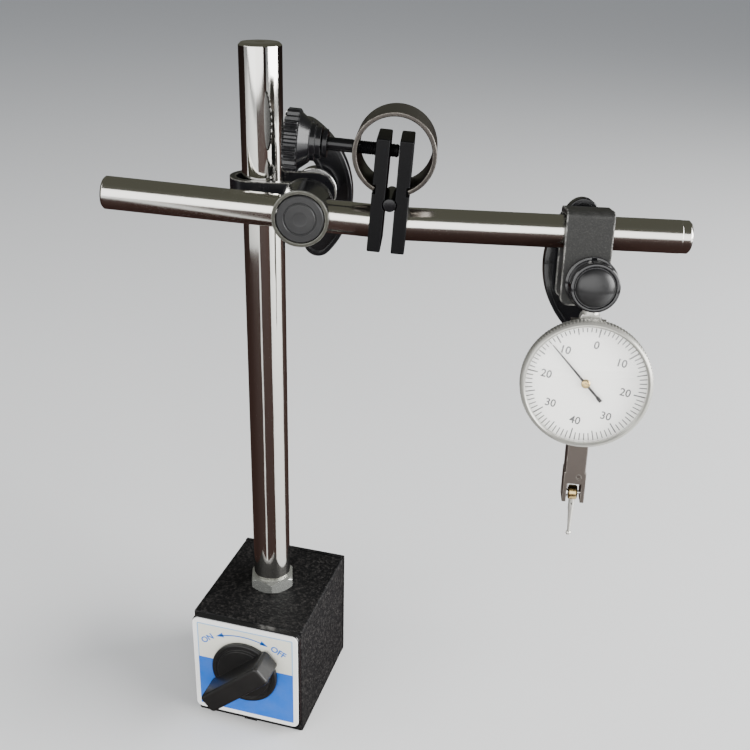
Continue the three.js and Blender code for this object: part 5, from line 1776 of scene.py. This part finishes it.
@dataclass(frozen=True)
class IndicatorCase(SubAssembly):
    """The indicator's stem, its case with the fork, the back cover and the works inside."""

    rides_on = "indicator"
    stem: float = 3.0
    stem_top: float = 7.5
    block_top: float = -9.9
    block_low: float = -12.7
    block_half: Point = (3.1, 3.7)
    block_depth: float = 2.8
    half_depth: float = 4.5
    wide: float = 6.25
    narrow: float = 3.7
    top: float = -13.0
    taper: Point = (-50.0, -54.0)
    low: float = -69.9
    fork: float = 4.05
    fork_bore: float = 2.95
    fork_gap: float = 2.6
    fork_low: float = -80.5
    wall: float = 1.2
    cover_span: Point = (4.8, 5.7)
    screw_spots: tuple[Point, Point] = ((0.0, -14.6), (4.6, -48.0))
    dial_height: float = -33.5
    pivot_height: float = -78.1
    hole_spot: Point = (1.3, -70.4)
    hole: float = 0.9
    jewel: float = 1.6
    pin_hole: float = 1.1

    def outline(self) -> list[Point]:
        """Gives the case's outline, wide behind the dial and narrow at the neck.

        Returns:
            The outline's points.
        """
        half = [
            (self.wide, self.top), (self.wide, self.taper[0]),
            (self.narrow, self.taper[1]), (self.narrow, self.low),
        ]
        return half + [(-x, z) for x, z in reversed(half)]

    def build(self) -> None:
        """Builds the stem, the case and its cover, and dresses the works."""
        self.stem_and_block()
        self.case()
        self.cover()
        place = self.places.indicator
        self.dress(self.finishes.ruby, place, "jewel_left", "jewel_right")
        self.dress(self.finishes.brass, place, "crown_gear")
        self.dress(self.finishes.bright_steel, place, "inner_lever", "pivot_pin")

    def stem_and_block(self) -> None:
        """Builds the round stem and the block it ends in."""
        stem = Solid.rod(self.stem, self.block_top - 1.4, self.stem_top, Axis.Z, 0.3, 48)
        top, bottom = self.block_half
        middle = (self.block_top + self.block_low) / 2
        block = Solid.drawn(
            [(top, self.block_top), (-top, self.block_top), (-bottom, middle), (-bottom, self.block_low),
             (bottom, self.block_low), (bottom, middle)], -self.block_depth, self.block_depth,
        ).eased(0.25, 2)
        self.put(
            stem.joined(block), self.places.indicator, self.finishes.silver_nickel,
            "stem_and_block", "bright_steel", "indicator_stem",
        )

    def case(self) -> None:
        """Builds the case, hollow behind, with the fork that holds the stylus."""
        depth, wall, fork = self.half_depth, self.wall, self.fork
        web = (self.low + 1.1, self.low - 3.3)
        case = Solid.drawn(self.outline(), -depth, depth, {0.6: (0, 7)})
        case.eased(0.85, 2, lambda middle: middle.y < 0.1 - depth and middle.z > self.low + 0.5)
        ears = Solid.block((-fork, -depth, self.fork_low), (fork, depth, web[0])).eased(0.35, 2)
        floor, front, back = self.taper[0] + 4, -depth - PAST, depth + PAST
        across = Solid.rod(self.jewel, 0.3 - self.wide, self.wide - 0.3, Axis.X, steps=32)
        x, z = self.hole_spot
        case.joined(ears).cut(
            Solid.block((wall - self.wide, wall - depth, floor), (self.wide - wall, back, self.top - 3.2)),
            Solid.block((-self.fork_bore, wall - depth, web[1]), (self.fork_bore, back, floor + PAST)),
            Solid.block((-self.fork_gap, front, self.fork_low - PAST), (self.fork_gap, back, web[1])),
            Solid.rod(self.jewel, front, 0.0, steps=32).moved(z=self.dial_height),
            across.moved(0.0, 0.7, self.dial_height),
            Solid.rod(self.pin_hole, -fork - PAST, fork + PAST, Axis.X, steps=32).moved(z=self.pivot_height),
            Solid.rod(self.hole, front, self.hole - depth, steps=32).moved(x, 0.0, z),
        )
        self.put(
            case, self.places.indicator, self.finishes.satin_nickel,
            "nickel_case", "satin_nickel", "indicator_case",
        )

    def cover(self) -> None:
        """Builds the back cover and its two slotted screws."""
        start, end = self.cover_span
        cover = Solid.drawn(self.outline(), start, end).eased(0.25, 2, lambda middle: middle.y > end - 0.1)
        for x, z in self.screw_spots:
            cover.cut(Solid.rod(0.6, start - PAST, end + PAST, steps=24).moved(x, 0.0, z))
        place, finishes = self.places.indicator, self.finishes
        self.put(cover, place, finishes.satin_nickel, "case_back", "satin_nickel", "back_cover")
        for number, (x, z) in enumerate(self.screw_spots, start=1):
            base = end + 0.3
            screw = Solid.turned(
                [(0.0, base - 2.4), (0.45, base - 2.4), (0.45, base), (0.9, base), (0.9, base + 0.4),
                 (0.0, base + 0.4)],
                rounding=0.08, steps=32,
            ).cut(Solid.block((-1.2, base + 0.2, -0.12), (1.2, base + 1, 0.12)).spun(35.0 * number, Axis.Y))
            self.put(
                screw, place.shifted(x, 0.0, z), finishes.bright_steel,
                f"case_screw_{number}", "bright_steel", f"cover_screw_{number}",
            )


@dataclass(frozen=True)
class Dial(SubAssembly):
    """The dial: its housing, the printed face, the knurled bezel and the clear window."""

    rides_on = "bezel"
    housing: float = 21.6
    housing_span: Point = (-4.8, -5.8)
    rim: float = -6.7
    arbor_hole: float = 1.6
    face: float = 21.6
    face_span: Point = (-7.0, -7.6)
    face_bore: float = 0.9
    bezel: float = 23.1
    bezel_bore: float = 21.9
    opening: float = 21.1
    bezel_back: float = -5.1
    bezel_front: float = -11.8
    lip: float = -9.7
    knurls: int = 120
    knurl_depth: float = 0.28
    window: float = 20.8
    window_back: float = -10.0
    window_edge: float = -10.7
    window_top: float = -12.2
    print_turn: float = 10.0
    divisions: int = 80
    mark_end: float = 21.2
    mark_starts: tuple[float, float, float] = (18.5, 17.7, 17.1)
    mark_widths: tuple[float, float, float] = (0.36, 0.4, 0.46)
    numeral_radius: float = 14.1
    numeral_letters: Point = (2.8, 0.06)
    numerals: tuple[str, ...] = ("0", "10", "20", "30", "40", "30", "20", "10")

    def build(self) -> None:
        """Builds the housing, the face and its print, the bezel and the window."""
        place, finishes = self.places.dial, self.finishes
        back, front = self.housing_span
        housing = Solid.turned(
            [(self.arbor_hole, back), (self.housing - 0.4, back), (self.housing, back - 0.4),
             (self.housing, self.rim), (self.housing - 1, self.rim), (self.housing - 1, front),
             (self.arbor_hole, front)], rounding=0.1,
        )
        self.put(
            housing, place, finishes.satin_nickel,
            "dial_pan", "satin_nickel", "dial_housing", body="indicator",
        )
        face = Solid.tube(self.face, self.face_bore, self.face_span[1], self.face_span[0])
        self.put(face, place, finishes.dial_white, "white_face", "dial_white", "dial_face")
        self.put(self.printed(), place, finishes.dial_ink, "face_print", "dial_white", "dial_face")
        self.ring()
        self.pane()

    def printed(self) -> Solid:
        """Draws the dial's marks and numbers.

        Returns:
            The print, a hair in front of the face.
        """
        letters = Lettering(*self.numeral_letters)
        front = self.face_span[1]
        whole = None
        for number in range(self.divisions):
            kind = 2 if number % 10 == 0 else 1 if number % 5 == 0 else 0
            half = self.mark_widths[kind] / 2
            mark = Solid.block(
                (-half, front - letters.thickness, self.mark_starts[kind]), (half, front, self.mark_end)
            ).spun(self.print_turn + 360.0 * number / self.divisions, Axis.Y)
            whole = mark if whole is None else whole.together(mark)
        for number, text in enumerate(self.numerals):
            angle = 90.0 - 360.0 * number / len(self.numerals)
            x, z = arc((0.0, 0.0), self.numeral_radius, angle, angle, 1)[0]
            whole.together(letters.words(text).moved(x, front, z).spun(self.print_turn, Axis.Y))
        return whole

    def ring(self) -> None:
        """Builds the bezel, knurled round its side."""
        wide = self.bezel
        ring = Solid.turned(
            [(self.bezel_bore, self.bezel_back), (wide - 0.35, self.bezel_back),
             (wide - 0.35, self.bezel_back - 0.7), (wide, self.bezel_back - 1.0),
             (wide, self.bezel_front + 1.9), (wide - 0.35, self.bezel_front + 1.6),
             (wide - 0.35, self.bezel_front + 0.9), (wide - 0.9, self.bezel_front + 0.2),
             (wide - 1.4, self.bezel_front), (self.opening + 0.5, self.bezel_front),
             (self.opening, self.bezel_front + 0.5), (self.opening, self.lip), (self.bezel_bore, self.lip)],
            steps=4 * self.knurls,
        )
        ring.ridged(self.knurl_depth, self.knurls, lambda at: math.hypot(at.x, at.z) > wide - 0.1)
        self.put(ring, self.places.dial, self.finishes.champagne, "knurled_bezel", "champagne", "bezel")

    def pane(self) -> None:
        """Builds the window, a little domed."""
        rise = self.window_edge - self.window_top
        front = [
            (self.window * step / 12, self.window_top + rise * (step / 12) ** 2) for step in range(12, -1, -1)
        ]
        back = [
            (self.window * step / 12, self.window_back - 0.6 * rise * (1 - (step / 12) ** 2))
            for step in range(13)
        ]
        pane = Solid.turned(back + front)
        self.put(pane, self.places.dial, self.finishes.window, "domed_window", "clear_window", "crystal")


@dataclass(frozen=True)
class Needle(SubAssembly):
    """The needle, its hub and the arbor behind it."""

    rides_on = "needle"
    angle: float = 43.5
    blade_span: Point = (-8.6, -8.3)
    reach: float = 18.2
    tail: float = 8.4
    tail_start: float = 6.0
    root: float = 0.45
    tip: float = 0.16
    tail_half: float = 0.62
    hub: float = 1.6
    hub_span: Point = (-9.0, -7.9)

    def build(self) -> None:
        """Builds the blade and the hub."""
        place, finishes = self.places.dial.turned(-self.angle, Axis.Y), self.finishes
        blade = Solid.drawn(
            [(-self.root, 0.0), (-self.root * 0.9, -self.tail_start),
             (-self.tail_half, -self.tail_start - 0.6), (-self.tail_half, -self.tail),
             (self.tail_half, -self.tail), (self.tail_half, -self.tail_start - 0.6),
             (self.root * 0.9, -self.tail_start), (self.root, 0.0), (self.tip, self.reach),
             (-self.tip, self.reach)],
            *self.blade_span,
        )
        blade.cut(Solid.rod(self.hub - 0.5, -12.0, -6.0, steps=32))
        self.put(blade, place, finishes.needle_black, "needle_blade", "black_paint", "needle")
        front, back = self.hub_span
        hub = Solid.turned(
            [(0.0, front + 0.05), (0.5, front), (0.7, front), (self.hub - 0.4, front + 0.15),
             (self.hub, front + 0.5), (self.hub, back), (0.8, back), (0.8, front + 0.3), (0.0, front + 0.3)],
            steps=48,
        )
        self.put(hub, place, finishes.brass, "needle_hub", "brass", "needle")
        self.dress(finishes.bright_steel, place, "needle_arbor")


@dataclass(frozen=True)
class Stylus(SubAssembly):
    """The stylus: a brass knuckle on the pivot pin, a tapered rod and its ball."""

    rides_on = "stylus"
    knuckle: float = 2.7
    half_width: float = 1.7
    pin_hole: float = 0.95
    seat: float = 1.2
    top: float = 1.15
    neck: float = 0.5
    ball: float = 1.0
    reach: float = 16.5
    step: float = -6.6
    step_depth: float = 0.12
    grip_hole: Point = (0.35, -4.4)

    def build(self) -> None:
        """Builds the knuckle and the rod."""
        place, finishes = self.places.pivot, self.finishes
        knuckle = Solid.rod(self.knuckle, -self.half_width, self.half_width, Axis.X, 0.7, 56)
        knuckle.cut(
            Solid.rod(self.pin_hole, -3.0, 3.0, Axis.X, steps=24),
            Solid.rod(self.top + 0.15, -self.knuckle - PAST, -self.seat, Axis.Z, steps=24),
        )
        self.put(knuckle, place, finishes.brass, "brass_knuckle", "brass", "stylus_knuckle")
        start = math.degrees(math.asin(self.neck / self.ball))
        high = -self.seat - 0.3
        slim = self.top - self.step_depth
        profile = [(0.0, high), (self.top, high), (self.top, self.step), (slim, self.step - 0.3)]
        profile += [(x, -self.reach + z) for x, z in arc((0.0, 0.0), self.ball, 90.0 - start, -90.0, 18)[:-1]]
        stylus = Solid.turned([*profile, (0.0, -self.reach - self.ball)], Axis.Z, steps=40)
        hole, at = self.grip_hole
        stylus.cut(Solid.rod(hole, -3.0, 3.0, steps=16).moved(z=at))
        self.put(stylus, place, finishes.silver_nickel, "ball_stylus", "bright_steel", "stylus")


@dataclass(frozen=True)
class Lamp:
    """A soft light: its place in metres, width and height, power in watts and direction."""

    name: str
    at: Triple
    size: Point
    power: float
    facing: Triple

    def hang(self) -> None:
        """Hangs the light in the studio."""
        light = bpy.data.lights.new(self.name, "AREA")
        light.shape, light.size, light.size_y, light.energy = "RECTANGLE", *self.size, self.power
        made = new_object(self.name, light)
        turned = Vector(self.facing).to_track_quat("-Z", "Y").to_matrix().to_4x4()
        made.matrix_world = Matrix.Translation(Vector(self.at)) @ turned
        made.visible_camera = False


@dataclass(frozen=True)
class Studio:
    """The pale floor, the soft lights and the camera at the photograph's viewing angle."""

    eye: Triple = (0.14395, -0.35210, 0.32982)
    azimuth: float = 0.27121
    down: float = 0.42353
    roll: float = 0.024752
    focal_pixels: float = 1002.37
    frame_pixels: float = 750.0
    sensor: float = 36.0
    floor_half: float = 12.0
    floor_colour: Triple = (0.84, 0.84, 0.83)
    sky: Triple = (0.86, 0.90, 0.96)
    sky_strength: float = 0.40
    room: Triple = (0.11, 0.11, 0.088)
    card_colour: Triple = (0.036, 0.018, 0.015)
    card_well: float = 0.1
    card_sectors: tuple[Triple, ...] = ((11.0, 31.5, 200.0), (0.7, 200.0, 259.0), (11.0, 266.0, 320.5))
    arm_card: tuple[Point, Point] = ((0.035, 0.205), (-0.057, 0.013))
    arm_card_height: float = 0.215
    arm_card_turn: float = 12.41
    card_height: float = 0.0003
    stage_gloss: float = 0.1
    lamps: tuple[Lamp, ...] = (
        Lamp("front", (-0.30, -1.50, 0.72), (2.80, 1.36), 43.0, (0.0, 1.0, 0.0)),
        Lamp("right", (1.35, 0.05, 0.56), (1.6, 1.0), 64.0, (-1.0, -0.12, -0.15)),
        Lamp("fill", (-1.0, -0.5, 0.9), (0.5, 0.5), 3.0, (0.9, 0.4, -0.7)),
    )

    def build(self) -> None:
        """Sets up the floor, the dark card, the lights and the camera."""
        mesh = bmesh.new()
        bmesh.ops.create_grid(mesh, x_segments=1, y_segments=1, size=self.floor_half)
        self.stage_piece("studio_floor", mesh, self.floor_colour, 0.7)
        self.card()
        self.world()
        for lamp in self.lamps:
            lamp.hang()
        self.camera()

    def stage_piece(
        self, name: str, mesh: bmesh.types.BMesh, colour: Triple, roughness: float
    ) -> bpy.types.Object:
        """Puts a piece of the studio in the scene, in a plain finish.

        Args:
            name: the piece's name.
            mesh: its shape, in metres.
            colour: its colour.
            roughness: how dull it is.

        Returns:
            The object.
        """
        data = bpy.data.meshes.new(name)
        mesh.to_mesh(data)
        mesh.free()
        material = bpy.data.materials.new(name)
        material.use_nodes = True
        wiring = Wiring(material.node_tree)
        shader = wiring.add(
            "BsdfPrincipled", Roughness=roughness, Base_Color=rgba(colour),
            Specular_IOR_Level=self.stage_gloss,
        )
        wiring.add("OutputMaterial", Surface=shader.outputs[0])
        data.materials.append(material)
        made = new_object(name, data)
        return made

    def card(self) -> None:
        """Lays a dark card that only the polished metal mirrors, open towards the right."""
        mesh = bmesh.new()
        height, well = self.card_height, self.card_well
        sectors = [(well, *sector) for sector in self.card_sectors]
        for near, far, start, end in [(0.001, well, 0.0, 360.0), *sectors]:
            line = [mesh.verts.new((reach, 0.0, height)) for reach in (near, far)]
            edge = mesh.edges.new(line)
            turn = Matrix.Rotation(math.radians(start), 3, "Z")
            bmesh.ops.rotate(mesh, cent=(0, 0, 0), matrix=turn, verts=line)
            bmesh.ops.spin(
                mesh, geom=[*line, edge], cent=(0, 0, 0), axis=(0, 0, 1),
                angle=math.radians(end - start), steps=48,
            )
        bmesh.ops.remove_doubles(mesh, verts=mesh.verts, dist=0.00001)
        (left, right), (near, far) = self.arm_card
        corners = [(left, near), (right, near), (right, far), (left, far)]
        added = [mesh.verts.new((x, y, self.arm_card_height)) for x, y in corners]
        turn = Matrix.Rotation(math.radians(self.arm_card_turn), 3, "Z")
        bmesh.ops.rotate(mesh, cent=(0, 0, 0), matrix=turn, verts=added)
        mesh.faces.new(added)
        bmesh.ops.recalc_face_normals(mesh, faces=mesh.faces)
        made = self.stage_piece("studio_card", mesh, self.card_colour, 0.8)
        made.visible_camera = made.visible_diffuse = made.visible_shadow = made.visible_transmission = False

    def world(self) -> None:
        """Fills the room with an even soft light, which polished metal sees as a dim room."""
        world = bpy.data.worlds.new("studio")
        bpy.context.scene.world = world
        world.use_nodes = True
        wiring = Wiring(world.node_tree)
        even = wiring.add("Background", Color=rgba(self.sky), Strength=self.sky_strength)
        dim = wiring.add("Background", Color=rgba(self.room), Strength=1.0)
        wiring.add("OutputWorld", Surface=wiring.by_ray("Glossy", even, dim))

    def camera(self) -> None:
        """Sets the camera that matches the photograph."""
        level = Vector((-math.sin(self.azimuth), math.cos(self.azimuth), 0.0))
        forward = level * math.cos(self.down) - Vector((0.0, 0.0, math.sin(self.down)))
        right = forward.cross(Vector((0.0, 0.0, 1.0))).normalized()
        up = right.cross(forward)
        across = math.cos(self.roll) * right + math.sin(self.roll) * up
        upward = math.cos(self.roll) * up - math.sin(self.roll) * right
        data = bpy.data.cameras.new("photo_view")
        data.sensor_width = self.sensor
        data.lens = self.focal_pixels * self.sensor / self.frame_pixels
        data.clip_start, data.clip_end = 0.01, 100.0
        made = new_object("photo_view", data)
        turn = Matrix((across, upward, -forward)).transposed().to_4x4()
        made.matrix_world = Matrix.Translation(Vector(self.eye)) @ turn
        bpy.context.scene.camera = made


def main() -> None:
    """Builds the whole part, then the studio round it."""
    logging.basicConfig(level=logging.INFO, format="%(message)s")
    places, finishes = Places(), Finishes()
    groups = (
        MagneticBase, Switch, Post, PostClip, CrossClamp, InnerArm, FineAdjuster, OuterArm,
        Bracket, Holder, IndicatorCase, Dial, Needle, Stylus,
    )
    for group in groups:
        log.info("%s", group.__doc__)
        group(places, finishes).build()
    Studio().build()


if __name__ == "__main__":
    main()
